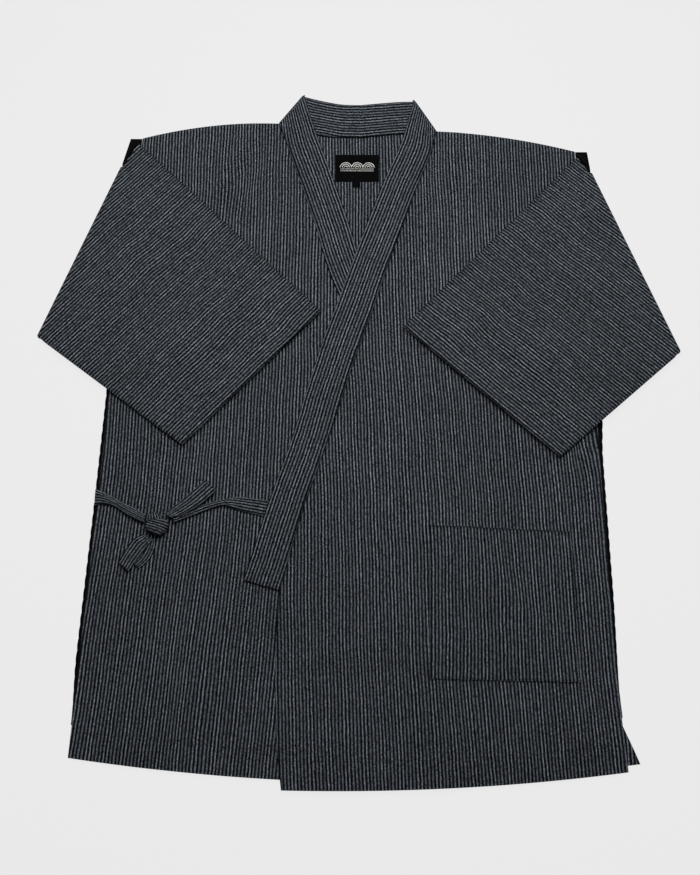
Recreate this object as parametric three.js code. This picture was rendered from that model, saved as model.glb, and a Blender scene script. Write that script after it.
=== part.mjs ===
// The top of a man's jinbei, spread face up on a flat surface with both sleeves turned in.
// Millimetres. +X is the wearer's left, +Y points from the hem to the collar, +Z is up.
// Every piece is cloth: a wall of one thickness around a middle surface, worked out from
// the tables below and stacked on the piece that it lies on.
import * as THREE from "three";

// Thicknesses and clearances
const CLOTH = 1.2;            // one layer of puckered cotton
const COLLAR_THICK = 2.4;     // the collar is a folded band
const TIE_THICK = 1.6;        // a tie is a stitched double ribbon
const LACE = 0.8;             // openwork tape
const LABEL_THICK = 1.0;
const SEAM_GAP = 0.4;         // between two pieces sewn edge to edge
const LAY_GAP = 0.6;          // between a piece and the one it lies on

// Heights of the layers' undersides
const FRONT_LOW = CLOTH + LAY_GAP;              // a front that lies on the back
const LAP_RISE = CLOTH + LAY_GAP;               // the outer front climbs this on the inner one
const COLLAR_RISE = COLLAR_THICK - CLOTH;       // and this more over the hidden collar
const TIE_RISE = 2.4;                           // room for the tie under the outer collar
// Where the outer front climbs: each rise is full as far as flat and gone at ease, measured
// from the lap line, from the middle of the hidden collar and from the tie's sewn end
const LAP_EASE = 75;
const HIDDEN_COLLAR = { fromEdge: 20, flat: 24, ease: 80, goneY: -300, fullY: -200 };
const TIE_END = { x: -95, y: -117, flat: 18, ease: 75 };

// Body outline. side: the cloth's edge from the shoulder end down to the hem corner
const SIDE = {
  left: [
    { x: 260.5, y: 328.5 }, { x: 263.5, y: 63 }, { x: 263.2, y: -22 }, { x: 263.4, y: -185 },
    { x: 264.5, y: -310 }, { x: 266.5, y: -345 }, { x: 268.8, y: -391.5 },
  ],
  right: [
    { x: -259.5, y: 347 }, { x: -275.5, y: 76 }, { x: -278, y: -4 }, { x: -282, y: -120 },
    { x: -287.5, y: -250 }, { x: -290.5, y: -330 }, { x: -292.5, y: -377.5 },
  ],
};
const BACK_CORNER = { left: { x: 281.5, y: -383.5 }, right: { x: -291, y: -375 } };
const SLIT_TOP = { left: -338, right: -345 };    // y where the side lace ends
const UNDERARM = { left: 63, right: 76 };        // y where the sleeve meets the side
const BACK_HEM_BOW = -20;                        // how far the hem sags below its corners
const SHOULDER_BOW = { left: 5, right: 7 };      // how far the shoulder line rises
const HEM_BOW = { left: -6.5, right: -8 };
const FRONT_HEM_CORNER = { left: { x: -78, y: -409 }, right: { x: 85, y: -401 } };
const FRONT_EDGE_BELLY = { left: -5.5, right: 4 };  // bow of the front edge below the collar
const BOW_REACH = 0.25;       // share of a front's height over which its end bows die out

// Collar: free edge from the lower end up to the neck, with the band's width there
const COLLAR_ROWS = {
  left: [
    { x: -121.5, y: -196, width: 39.5 }, { x: -96, y: -109, width: 37 },
    { x: -77.5, y: -52, width: 37.5 }, { x: -59, y: 14, width: 40 },
    { x: -40, y: 80, width: 41 }, { x: -22.5, y: 130, width: 41 },
    { x: -6, y: 181, width: 40 }, { x: 11.5, y: 233.5, width: 40 },
    { x: 30.5, y: 287.5, width: 39.5 }, { x: 52, y: 341, width: 38 },
  ],
  right: [
    { x: 121.5, y: -196, width: 39.5 }, { x: 96, y: -109, width: 38.5 },
    { x: 77.5, y: -52, width: 38.5 }, { x: 59, y: 14, width: 38.5 },
    { x: 40, y: 80, width: 38.5 }, { x: 22, y: 130, width: 38.5 },
    { x: 2.5, y: 181, width: 38.5 }, { x: -11.8, y: 234.5, width: 38.5 },
    { x: -28.6, y: 288.5, width: 38.5 }, { x: -47, y: 344, width: 38 },
  ],
};
// Where the band turns over beside the neck, and its back stretch up to the centre back
const NECK_FOLD = {
  left: { seam: { x: 94.8, y: 357 }, free: { x: 68.8, y: 398 } },
  right: { seam: { x: -95.4, y: 368 }, free: { x: -66.4, y: 405 } },
};
const BACK_COLLAR = {
  left: [
    { seamX: 52, seamY: 354.8, freeX: 50, freeY: 396 },
    { seamX: 27, seamY: 352, freeX: 27, freeY: 394 },
    { seamX: 2.8, seamY: 349.4, freeX: 2.8, freeY: 391.5 },
  ],
  right: [
    { seamX: -47, seamY: 352.7, freeX: -44, freeY: 397.5 },
    { seamX: -21, seamY: 349.9, freeX: -20, freeY: 392.5 },
    { seamX: 2.4, seamY: 349.3, freeX: 2.4, freeY: 391.5 },
  ],
};
const BACK_COLLAR_MID = { seam: 1.5, free: 6.2 };  // height of the band's middle at the back
const NECK_TURN_RADIUS = 1.6;
const NECK_POINT_DROP = 2.4;  // the back stops this far short of the band's turn

// Sleeves as they lie: the crease runs from crown to elbow, the turned part on to the cuff
const SLEEVE = {
  left: {
    crown: { x: 280.1, y: 292.7 }, elbow: { x: 362.9, y: 65.2 },
    topCorner: { x: 261.2, y: 317.7 }, cuffTop: { x: 50.4, y: 94.8 },
    cuffUnder: { x: 218.7, y: -60.6 }, armholeUnder: { x: 283.5, y: 63 },
    cuffRise: 2.2,
  },
  right: {
    crown: { x: -284.3, y: 301.8 }, elbow: { x: -363.6, y: 84.1 },
    topCorner: { x: -260.1, y: 337.8 }, cuffTop: { x: -42.5, y: 115.2 },
    cuffUnder: { x: -192.8, y: -46.4 }, armholeUnder: { x: -296, y: 76 },
    cuffRise: 0.8,
  },
};
const TUBE_HALF = 1.0;        // half the distance between the middles of a sleeve's two walls
const CREASE_RADIUS = 2.4;    // bend of the sleeve's middle plane at the crease
const ARMHOLE_TO_CREASE = 1;  // length of the under part at the crown, before the bend
const TURNED_START = 0.06;    // share of the way from elbow to cuff where the bend is over
const SHOULDER_END_LACE = { left: { x: 275.6, y: 326.7 }, right: { x: -274.3, y: 346.3 } };

// Low folds, each a soft ridge: middle, direction in degrees from +X, half length, half
// width and height
const FRONT_FOLDS = {
  left: [
    { x: 120, y: 300, turn: 75, length: 60, width: 30, height: 2.4 },
    { x: 232, y: -70, turn: 82, length: 70, width: 26, height: 2.0 },
    { x: -28, y: -372, turn: 96, length: 40, width: 40, height: 2.0 },
    { x: 150, y: -352, turn: 92, length: 50, width: 40, height: 1.6 },
  ],
  right: [
    { x: -150, y: 306, turn: 78, length: 70, width: 34, height: 2.4 },
    { x: -176, y: -322, turn: 86, length: 90, width: 42, height: 3.0 },
    { x: -238, y: -330, turn: 92, length: 60, width: 36, height: 1.6 },
  ],
};
const SLEEVE_FOLDS = [
  { along: 0.3, across: 0.35, length: 0.3, width: 0.5, height: 1.6 },
  { along: 0.62, across: 0.6, length: 0.25, width: 0.45, height: 2.0 },
  { along: 0.85, across: 0.2, length: 0.2, width: 0.4, height: 1.2 },
];

// Pocket, label and ties
const POCKET = {
  topInner: { x: 74.8, y: -137.4 }, topOuter: { x: 226.3, y: -143.5 },
  bottomOuter: { x: 225.3, y: -302.7 }, bottomInner: { x: 71.8, y: -299.2 },
};
const LABEL_LOW = CLOTH + 0.3;
const LABEL = { x: -0.9, y: 306, width: 51.5, height: 37 };
const SIZE_TAB = { x: -2, y: 283.4, width: 9.5, height: 7 };
const TIE_LOW = FRONT_LOW + CLOTH + LAY_GAP;     // underside of a tie on the inner front
// Each row is a cross line of the ribbon: one edge, the other edge and the height above
// the front's layer
const TIES = {
  tie_side: [
    { ax: -284, ay: -95.7, bx: -284, by: -114.5, rise: 0.2 },
    { ax: -275.3, ay: -99.5, bx: -275.8, by: -112.9, rise: 0.6 },
    { ax: -264.6, ay: -107.2, bx: -262.7, by: -115.6, rise: 1.4 },
    { ax: -249.7, ay: -116.4, bx: -249.3, by: -124, rise: 1.8 },
    { ax: -237.9, ay: -121.6, bx: -237.4, by: -130, rise: 2.4 },
    { ax: -228.6, ay: -126.2, bx: -228.4, by: -133.6, rise: 3.0 },
  ],
  tie_front: [
    { ax: -95.4, ay: -109.2, bx: -99.6, by: -127, rise: 0.1 },
    { ax: -122.1, ay: -105.5, bx: -126, by: -120.5, rise: 0.5 },
    { ax: -134.6, ay: -106.1, bx: -139.1, by: -116.2, rise: 1.2 },
    { ax: -143.6, ay: -108.2, bx: -146.9, by: -114.6, rise: 2.0 },
    { ax: -159.3, ay: -111.8, bx: -161.1, by: -118.9, rise: 1.2 },
    { ax: -174.8, ay: -117.3, bx: -177.1, by: -125.5, rise: 0.6 },
    { ax: -187.2, ay: -123.3, bx: -188.6, by: -130, rise: 1.4 },
    { ax: -197.6, ay: -128.3, bx: -198.2, by: -134.4, rise: 2.4 },
  ],
  tie_bow: [
    { ax: -207.4, ay: -125.2, bx: -199.6, by: -129.5, rise: 4.8 },
    { ax: -199, ay: -117.6, bx: -187.6, by: -125.6, rise: 4.4 },
    { ax: -182.5, ay: -102.4, bx: -169.6, by: -114.2, rise: 4.0 },
    { ax: -166.6, ay: -86.6, bx: -153.5, by: -99, rise: 3.2 },
  ],
  tie_tail_over: [
    { ax: -228.6, ay: -147.2, bx: -218.8, by: -152.6, rise: 3.0 },
    { ax: -239.3, ay: -152.4, bx: -226.4, by: -163.8, rise: 2.6 },
    { ax: -248.2, ay: -166, bx: -235.6, by: -176.4, rise: 2.4 },
    { ax: -253.7, ay: -177.2, bx: -242.3, by: -187.6, rise: 2.3 },
  ],
  tie_tail_under: [
    { ax: -226.5, ay: -153, bx: -217.2, by: -151.4, rise: 0.1 },
    { ax: -230.4, ay: -160.4, bx: -216.6, by: -161.4, rise: 0.1 },
    { ax: -236.6, ay: -169.8, bx: -221.7, by: -173.6, rise: 0.1 },
    { ax: -240.6, ay: -176.4, bx: -232, by: -183.4, rise: 0.1 },
  ],
};
// roundness is the power that blunts the knot's ends, endHeight the share of the height where
// they close, wrapDepth the share by which the wraps swell and shrink the section
const KNOT = {
  x: -214.4, y: -137.8, halfLength: 15.2, halfWidth: 9.4, turn: 122, height: 9.6,
  endHeight: 0.4, roundness: 0.6, wraps: 3, wrapDepth: 0.06,
};

// Openwork tape: how much of the side tape shows, its folded section as shares of its reach
// and of the way up from the back's layer to the front's, and the armhole tape's clearances
const LACE_SHOWS = 3.4;
const SIDE_LACE_SECTION = [
  { reach: 0, up: 0 }, { reach: 0.7, up: 0 }, { reach: 1, up: 0.3 },
  { reach: 1, up: 0.7 }, { reach: 0.7, up: 1 }, { reach: 0, up: 1 },
];
const LACE_BELOW_UNDERARM = 2;
const LACE_ABOVE_CROWN = 2.5;
const LACE_BELOW_BEND = 1;
const LACE_TO_SLEEVE = SEAM_GAP + 0.6;
// The corner of tape that turns over with the sleeve: each of its corners is set in from a
// point of the shoulder or the sleeve, and stands this high above the front
const LACE_TURN = {
  shoulderLace: { inward: 1.2, y: -1, rise: 0 },
  crown: { inward: 1.6, y: 3.4, rise: 0.6 },
  shoulder: { inward: -1.5, y: -3.5, rise: 0.4 },
  topCorner: { inward: -2.2, y: 2.6, rise: 2.4 },
};

// Colours: navy-black striped cotton, black tape
const COTTON = { color: 0x2e343b, roughness: 0.95, metalness: 0 };
const TAPE = { color: 0x0d0e11, roughness: 0.9, metalness: 0 };
const WOVEN_LABEL = { color: 0x101114, roughness: 0.6, metalness: 0 };

const SIDES = ["left", "right"];
const lerp = THREE.MathUtils.lerp;
const smooth = (low, high, value) => THREE.MathUtils.smoothstep(value, low, high);
const outward = (side) => (side === "left" ? 1 : -1);

// A number worked out between the rows of a table, by a straight line from row to row
function between(rows, key, value, column) {
  for (let i = 1; i < rows.length; i += 1) {
    const a = rows[i - 1];
    const b = rows[i];
    const t = (value - a[key]) / (b[key] - a[key]);
    if (t <= 1 || i === rows.length - 1) {
      return lerp(a[column], b[column], THREE.MathUtils.clamp(t, 0, 1));
    }
  }
  return rows[0][column];
}

// Height of a set of soft ridges at a point: each falls to nothing at its own length and
// width
function foldHeight(folds, x, y) {
  let height = 0;
  for (const fold of folds) {
    const turn = THREE.MathUtils.degToRad(fold.turn);
    const dx = x - fold.x;
    const dy = y - fold.y;
    const along = (dx * Math.cos(turn) + dy * Math.sin(turn)) / fold.length;
    const across = (dy * Math.cos(turn) - dx * Math.sin(turn)) / fold.width;
    const bell = Math.max(0, 1 - along * along) ** 2 * Math.max(0, 1 - across * across) ** 2;
    height += fold.height * bell;
  }
  return height;
}

// The free edge of the hidden inner collar, and below it the inner front's edge
const LAP_SLOPE = 0.317;
const LAP_FOOT = COLLAR_ROWS.right[0];
const LAP_BELOW = { x: FRONT_HEM_CORNER.right.x + 2, y: -290 };
function lapEdge(y) {
  const line = LAP_FOOT.x - LAP_SLOPE * (y - LAP_FOOT.y);
  return y > LAP_FOOT.y ? line : lerp(LAP_BELOW.x, LAP_FOOT.x, smooth(LAP_BELOW.y, LAP_FOOT.y, y));
}

// Height of the underside of the outer front and its collar: they climb over the inner
// front, over the hidden collar and over the tie's sewn end
function outerLow(x, y) {
  const right = x - lapEdge(y);
  const onFront = 1 - smooth(0, LAP_EASE, right);
  const fromCollar = Math.abs(right + HIDDEN_COLLAR.fromEdge);
  const onCollar = (1 - smooth(HIDDEN_COLLAR.flat, HIDDEN_COLLAR.ease, fromCollar))
    * smooth(HIDDEN_COLLAR.goneY, HIDDEN_COLLAR.fullY, y);
  const fromTie = Math.hypot(x - TIE_END.x, y - TIE_END.y);
  const onTie = 1 - smooth(TIE_END.flat, TIE_END.ease, fromTie);
  return FRONT_LOW + LAP_RISE * onFront + COLLAR_RISE * onCollar + TIE_RISE * onTie;
}
const frontLow = {
  left: (x, y) => outerLow(x, y) + foldHeight(FRONT_FOLDS.left, x, y),
  right: (x, y) => FRONT_LOW + foldHeight(FRONT_FOLDS.right, x, y),
};
const collarLow = { left: outerLow, right: () => FRONT_LOW };

// One closed wall around a grid of middle points: rows of THREE.Vector3. With loop, each
// row closes on itself and the wall is a tube open at both ends
function clothWall(rows, thickness, loop = false) {
  const count = rows.length;
  const width = rows[0].length;
  const step = (from, to) => new THREE.Vector3().subVectors(to, from).normalize();
  const normals = rows.map((row, i) => row.map((point, j) => {
    const along = new THREE.Vector3();
    if (i > 0) along.add(step(rows[i - 1][j], point));
    if (i < count - 1) along.add(step(point, rows[i + 1][j]));
    const across = new THREE.Vector3();
    if (loop || j > 0) across.add(step(row[(j + width - 1) % width], point));
    if (loop || j < width - 1) across.add(step(point, row[(j + 1) % width]));
    return new THREE.Vector3().crossVectors(across, along).normalize();
  }));
  const positions = [];
  for (const sign of [1, -1]) {
    rows.forEach((row, i) => row.forEach((point, j) => {
      const moved = point.clone().addScaledVector(normals[i][j], (sign * thickness) / 2);
      positions.push(moved.x, moved.y, moved.z);
    }));
  }
  const index = [];
  const quad = (a, b, c, d) => index.push(a, b, c, a, c, d);
  const upper = (i, j) => i * width + (j % width);
  const lower = (i, j) => count * width + upper(i, j);
  const columns = loop ? width : width - 1;
  for (let i = 0; i < count - 1; i += 1) {
    for (let j = 0; j < columns; j += 1) {
      quad(upper(i, j), upper(i, j + 1), upper(i + 1, j + 1), upper(i + 1, j));
      quad(lower(i, j), lower(i + 1, j), lower(i + 1, j + 1), lower(i, j + 1));
    }
  }
  for (let j = 0; j < columns; j += 1) {
    quad(upper(0, j), lower(0, j), lower(0, j + 1), upper(0, j + 1));
    const i = count - 1;
    quad(upper(i, j), upper(i, j + 1), lower(i, j + 1), lower(i, j));
  }
  for (let i = 0; i < count - 1 && !loop; i += 1) {
    quad(upper(i, 0), upper(i + 1, 0), lower(i + 1, 0), lower(i, 0));
    const j = width - 1;
    quad(upper(i, j), lower(i, j), lower(i + 1, j), upper(i + 1, j));
  }
  return closedGeometry(positions, index);
}

// The same triangles, turned over if they enclose a negative volume
function closedGeometry(positions, index) {
  const corner = (k) => new THREE.Vector3().fromArray(positions, index[k] * 3);
  let volume = 0;
  for (let k = 0; k < index.length; k += 3) {
    volume += corner(k).dot(corner(k + 1).cross(corner(k + 2)));
  }
  if (volume < 0) {
    for (let k = 0; k < index.length; k += 3) {
      [index[k + 1], index[k + 2]] = [index[k + 2], index[k + 1]];
    }
  }
  const geometry = new THREE.BufferGeometry();
  geometry.setAttribute("position", new THREE.Float32BufferAttribute(positions, 3));
  geometry.setIndex(index);
  geometry.computeVertexNormals();
  return geometry;
}

// Cross lines of a collar half, from its lower end to the neck: the free edge's rows,
// smoothed, and the seam edge one band's width to the outside
const COLLAR_STEPS = 18;
function collarFront(side) {
  const table = COLLAR_ROWS[side];
  const fold = NECK_FOLD[side];
  const path = new THREE.CatmullRomCurve3(
    [...table, fold.free].map((row) => new THREE.Vector3(row.x, row.y, 0)),
  );
  const lines = [];
  for (let i = 0; i <= COLLAR_STEPS; i += 1) {
    const t = (i / COLLAR_STEPS) * ((table.length - 1) / table.length);
    const free = path.getPoint(t);
    const ahead = path.getTangent(t);
    const width = between(table, "y", free.y, "width");
    const seam = free.clone();
    seam.x += outward(side) * ahead.y * width;
    seam.y -= outward(side) * ahead.x * width;
    lines.push({ free, seam });
  }
  const end = {
    free: new THREE.Vector3(fold.free.x, fold.free.y, 0),
    seam: new THREE.Vector3(fold.seam.x, fold.seam.y, 0),
  };
  lines.push({ free: lines.at(-1).free.clone().lerp(end.free, 0.5),
    seam: lines.at(-1).seam.clone().lerp(end.seam, 0.5) });
  lines.push(end);
  return lines;
}
const COLLAR_LINES = { left: collarFront("left"), right: collarFront("right") };

const COLLAR_COLUMNS = 4;
const NECK_CLIMB = 60;        // the band starts to rise this far below the fold
function collarHalf(side) {
  const fold = NECK_FOLD[side];
  const foldTop = {
    seam: BACK_COLLAR_MID.seam + 2 * NECK_TURN_RADIUS,
    free: BACK_COLLAR_MID.free + 2 * NECK_TURN_RADIUS,
  };
  const lines = COLLAR_LINES[side].map(({ free, seam }) => {
    const line = {};
    for (const [name, point] of Object.entries({ free, seam })) {
      const resting = collarLow[side](point.x, point.y) + COLLAR_THICK / 2;
      const climb = smooth(fold[name].y - NECK_CLIMB, fold[name].y, point.y);
      line[name] = point.clone().setZ(lerp(resting, foldTop[name], climb));
    }
    return line;
  });
  const outFromFold = new THREE.Vector3(
    outward(side) * (fold.free.y - fold.seam.y), Math.abs(fold.free.x - fold.seam.x), 0,
  ).normalize();
  const inset = NECK_TURN_RADIUS + COLLAR_THICK / 2;
  lines.pop();
  for (const degrees of [0, 45, 90, 135, 180]) {
    const angle = THREE.MathUtils.degToRad(degrees);
    const line = {};
    for (const name of ["free", "seam"]) {
      const point = new THREE.Vector3(fold[name].x, fold[name].y, foldTop[name]);
      point.addScaledVector(outFromFold, NECK_TURN_RADIUS * Math.sin(angle) - inset);
      point.z -= NECK_TURN_RADIUS * (1 - Math.cos(angle));
      line[name] = point;
    }
    lines.push(line);
  }
  for (const row of BACK_COLLAR[side]) {
    lines.push({
      free: new THREE.Vector3(row.freeX, row.freeY, BACK_COLLAR_MID.free),
      seam: new THREE.Vector3(row.seamX, row.seamY, BACK_COLLAR_MID.seam),
    });
  }
  const rows = lines.map(({ free, seam }) => gridRow(seam, free, COLLAR_COLUMNS));
  return clothWall(rows, COLLAR_THICK);
}

function gridRow(from, to, columns) {
  return Array.from({ length: columns + 1 }, (_, j) => from.clone().lerp(to, j / columns));
}

// A front: rows from the hem to the shoulder, each from the side to the front edge or the
// collar's seam
const FRONT_COLUMNS = 12;
const FRONT_HEM_ROWS = 8;
function frontPanel(side) {
  const sign = outward(side);
  const corner = FRONT_HEM_CORNER[side];
  const collar = COLLAR_LINES[side];
  const foot = collar[0].seam;
  const inner = [];
  for (let i = 0; i < FRONT_HEM_ROWS; i += 1) {
    const t = i / FRONT_HEM_ROWS;
    const belly = FRONT_EDGE_BELLY[side] * 4 * t * (1 - t);
    inner.push({ x: lerp(corner.x, foot.x + sign * SEAM_GAP, t) + belly,
      y: lerp(corner.y, foot.y, t) });
  }
  for (const { seam } of collar) {
    inner.push({ x: seam.x + sign * SEAM_GAP, y: seam.y });
  }
  const neck = inner.at(-1);
  const shoulder = SIDE[side][0];
  const hemCorner = SIDE[side].at(-1);
  const table = [...SIDE[side]].reverse();
  const rows = inner.map((point) => {
    const rise = (point.y - corner.y) / (neck.y - corner.y);
    const sideY = lerp(hemCorner.y, shoulder.y, rise);
    const sideX = between(table, "y", sideY, "x") - sign * SEAM_GAP;
    return Array.from({ length: FRONT_COLUMNS + 1 }, (_, j) => {
      const u = j / FRONT_COLUMNS;
      const bow = 4 * u * (1 - u);
      const x = lerp(sideX, point.x, u);
      const y = lerp(sideY, point.y, u)
        + bow * HEM_BOW[side] * Math.max(0, 1 - rise / BOW_REACH)
        + bow * SHOULDER_BOW[side] * Math.max(0, 1 - (1 - rise) / BOW_REACH);
      return new THREE.Vector3(x, y, frontLow[side](x, y) + CLOTH / 2);
    });
  });
  return clothWall(rows, CLOTH);
}

// The back: one flat piece on the surface, its outline from the same sides and neckline
const CURVE_STEPS = 12;
function backPanel() {
  const outline = [];
  const bowed = (from, to, bow) => {
    for (let i = 0; i < CURVE_STEPS; i += 1) {
      const t = i / CURVE_STEPS;
      outline.push(new THREE.Vector2(lerp(from.x, to.x, t),
        lerp(from.y, to.y, t) + bow * 4 * t * (1 - t)));
    }
  };
  const edge = (side) => SIDE[side].slice(0, -1).map(
    ({ x, y }) => new THREE.Vector2(x - outward(side) * SEAM_GAP, y),
  );
  const neckSeam = (side) => {
    const { x, y } = NECK_FOLD[side].seam;
    const behind = BACK_COLLAR[side].map((row) => ({ x: row.seamX, y: row.seamY }));
    return [{ x, y: y - NECK_POINT_DROP }, ...behind];
  };
  const neckline = [...neckSeam("left"), ...neckSeam("right").reverse()].map(
    ({ x, y }) => new THREE.Vector2(x, y - SEAM_GAP),
  );
  bowed(SIDE.right[0], neckline.at(-1), SHOULDER_BOW.right);
  outline.push(...neckline.reverse());
  bowed(outline.pop(), SIDE.left[0], SHOULDER_BOW.left);
  outline.push(...edge("left"));
  bowed(BACK_CORNER.left, BACK_CORNER.right, BACK_HEM_BOW);
  outline.push(new THREE.Vector2(BACK_CORNER.right.x, BACK_CORNER.right.y));
  outline.push(...edge("right").reverse().slice(0, -1));
  const shape = new THREE.Shape(outline);
  return new THREE.ExtrudeGeometry(shape, { depth: CLOTH, bevelEnabled: false });
}

// A sleeve: a flat tube whose middle plane lies on the surface from the armhole to the
// crease, turns over there and lies back on the front as far as the cuff
const SLEEVE_COLUMNS = 8;
const SLEEVE_ROWS = 8;
const UNDER_STEPS = 4;
const CREASE_STEPS = 5;
const SLEEVE_HALF = TUBE_HALF + CLOTH / 2;
const CREASE_INSET = CREASE_RADIUS + SLEEVE_HALF;
const flat = (p, z = 0) => new THREE.Vector3(p.x, p.y, z);
function creaseFrame(side) {
  const crown = flat(SLEEVE[side].crown);
  const elbow = flat(SLEEVE[side].elbow);
  const down = new THREE.Vector3().subVectors(elbow, crown).normalize();
  const out = new THREE.Vector3(-down.y, down.x, 0).multiplyScalar(outward(side));
  const armholeTop = crown.clone().addScaledVector(out, -CREASE_INSET - ARMHOLE_TO_CREASE);
  return { crown, elbow, out, armholeTop };
}
function sleeveTube(side) {
  const s = SLEEVE[side];
  const { crown, elbow, out, armholeTop } = creaseFrame(side);
  const half = SLEEVE_HALF;
  const inset = CREASE_INSET;
  const rings = [];
  // The under part, from the armhole to the start of the bend
  const armholeUnder = flat(s.armholeUnder);
  for (let i = 0; i < UNDER_STEPS; i += 1) {
    const t = i / UNDER_STEPS;
    rings.push({ angle: 0, z: half,
      top: armholeTop.clone().lerp(crown.clone().addScaledVector(out, -inset), t),
      under: armholeUnder.clone().lerp(elbow.clone().addScaledVector(out, -inset), t) });
  }
  for (let i = 0; i <= CREASE_STEPS; i += 1) {
    const angle = (Math.PI * i) / CREASE_STEPS;
    const shift = CREASE_RADIUS * Math.sin(angle) - inset;
    rings.push({ angle, z: half + CREASE_RADIUS * (1 - Math.cos(angle)),
      top: crown.clone().addScaledVector(out, shift),
      under: elbow.clone().addScaledVector(out, shift) });
  }
  // The turned part, from the top corner to the cuff
  const turnedZ = half + 2 * CREASE_RADIUS;
  const firstUnder = elbow.clone().lerp(flat(s.cuffUnder), TURNED_START);
  for (let i = 0; i <= SLEEVE_ROWS; i += 1) {
    const t = i / SLEEVE_ROWS;
    rings.push({ angle: Math.PI, z: turnedZ + s.cuffRise * t, along: t,
      top: flat(s.topCorner).lerp(flat(s.cuffTop), t),
      under: firstUnder.clone().lerp(flat(s.cuffUnder), t) });
  }
  const rows = rings.map((ring) => {
    const normal = new THREE.Vector3(0, 0, Math.cos(ring.angle))
      .addScaledVector(out, -Math.sin(ring.angle));
    const length = ring.top.distanceTo(ring.under);
    const point = (fraction, level) => {
      const p = ring.top.clone().lerp(ring.under, fraction);
      p.z = ring.z + sleeveFold(ring.along, fraction);
      return p.addScaledVector(normal, level * TUBE_HALF);
    };
    const near = half / length;
    const edge = (CLOTH / 2) / length;
    const row = [point(edge, 0)];
    for (let j = 0; j <= SLEEVE_COLUMNS; j += 1) {
      row.push(point(lerp(near, 1 - near, j / SLEEVE_COLUMNS), -1));
    }
    row.push(point(1 - edge, 0));
    for (let j = SLEEVE_COLUMNS; j >= 0; j -= 1) {
      row.push(point(lerp(near, 1 - near, j / SLEEVE_COLUMNS), 1));
    }
    return row;
  });
  return clothWall(rows, CLOTH, true);
}
function sleeveFold(along, across) {
  if (along === undefined) return 0;
  let height = 0;
  for (const fold of SLEEVE_FOLDS) {
    const a = (along - fold.along) / fold.length;
    const b = (across - fold.across) / fold.width;
    height += fold.height * Math.max(0, 1 - a * a) ** 2 * Math.max(0, 1 - b * b) ** 2;
  }
  return height;
}

// Lace at the armhole: up on the back's layer, over the shoulder, down on the front's. The
// shares are those of the way up at which its plain lower stretch has a cross line
const LACE_SHARES = [0, 0.3, 0.6];
const LACE_COLUMNS = 2;
function armholeLace(side) {
  const sign = outward(side);
  const s = SLEEVE[side];
  const end = SHOULDER_END_LACE[side];
  const { armholeTop, crown } = creaseFrame(side);
  const aboveCrown = { x: crown.x, y: crown.y + LACE_ABOVE_CROWN };
  const outerEdge = [s.armholeUnder, armholeTop, aboveCrown, end];
  const inner = [...SIDE[side]].reverse();
  const shoulderY = SIDE[side][0].y;
  const levels = { back: CLOTH / 2, front: FRONT_LOW + CLOTH / 2 };
  const turn = (levels.front - levels.back) / 2;
  const line = (y, z) => {
    const inX = between(inner, "y", y, "x") + sign * SEAM_GAP;
    const outX = between(outerEdge, "y", y, "x") - sign * LACE_TO_SLEEVE;
    return gridRow(new THREE.Vector3(inX, y, z), new THREE.Vector3(outX, y, z), LACE_COLUMNS);
  };
  const top = shoulderY - turn - LACE / 2;
  const heights = [...LACE_SHARES.map((share) => lerp(UNDERARM[side], top, share)),
    armholeTop.y - LACE_BELOW_BEND, aboveCrown.y, top];
  const rows = heights.map((y) => line(y, levels.back));
  for (const degrees of [45, 90, 135]) {
    const angle = THREE.MathUtils.degToRad(degrees);
    rows.push(line(top + turn * Math.sin(angle), levels.back + turn * (1 - Math.cos(angle))));
  }
  rows.push(...heights.reverse().map((y) => line(y, levels.front)));
  return clothWall(rows, LACE);
}

// The lace's own corner that turns over with the sleeve
const TURN_STEPS = 4;
const TURN_COLUMNS = 3;
function laceTurn(side) {
  const { crown, topCorner } = SLEEVE[side];
  const end = SHOULDER_END_LACE[side];
  const layer = FRONT_LOW + CLOTH + SEAM_GAP + LACE / 2;
  const corner = (x, y, { inward, y: up, rise }) => new THREE.Vector3(
    x - outward(side) * inward, y + up, layer + rise,
  );
  const outEdge = gridRow(corner(end.x, end.y, LACE_TURN.shoulderLace),
    corner(crown.x, crown.y, LACE_TURN.crown), TURN_STEPS);
  const inEdge = gridRow(corner(SIDE[side][0].x, end.y, LACE_TURN.shoulder),
    corner(topCorner.x, topCorner.y, LACE_TURN.topCorner), TURN_STEPS);
  return clothWall(outEdge.map((point, i) => gridRow(point, inEdge[i], TURN_COLUMNS)), LACE);
}

// Side lace: a tape folded lengthwise between the back's edge and the front's edge
const SIDE_LACE_ROWS = 14;
function sideLace(side) {
  const sign = outward(side);
  const table = [...SIDE[side]].reverse();
  const low = CLOTH / 2;
  const high = FRONT_LOW + CLOTH / 2;
  const section = SIDE_LACE_SECTION.map(({ reach, up }) => ({
    out: Math.max(SEAM_GAP, reach * (LACE_SHOWS - LACE / 2)), z: lerp(low, high, up),
  }));
  const rows = [];
  for (let i = 0; i <= SIDE_LACE_ROWS; i += 1) {
    const y = lerp(SLIT_TOP[side], UNDERARM[side] - LACE_BELOW_UNDERARM, i / SIDE_LACE_ROWS);
    const x = between(table, "y", y, "x");
    rows.push(section.map((p) => new THREE.Vector3(x + sign * p.out, y, p.z)));
  }
  return clothWall(rows, LACE);
}

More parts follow.
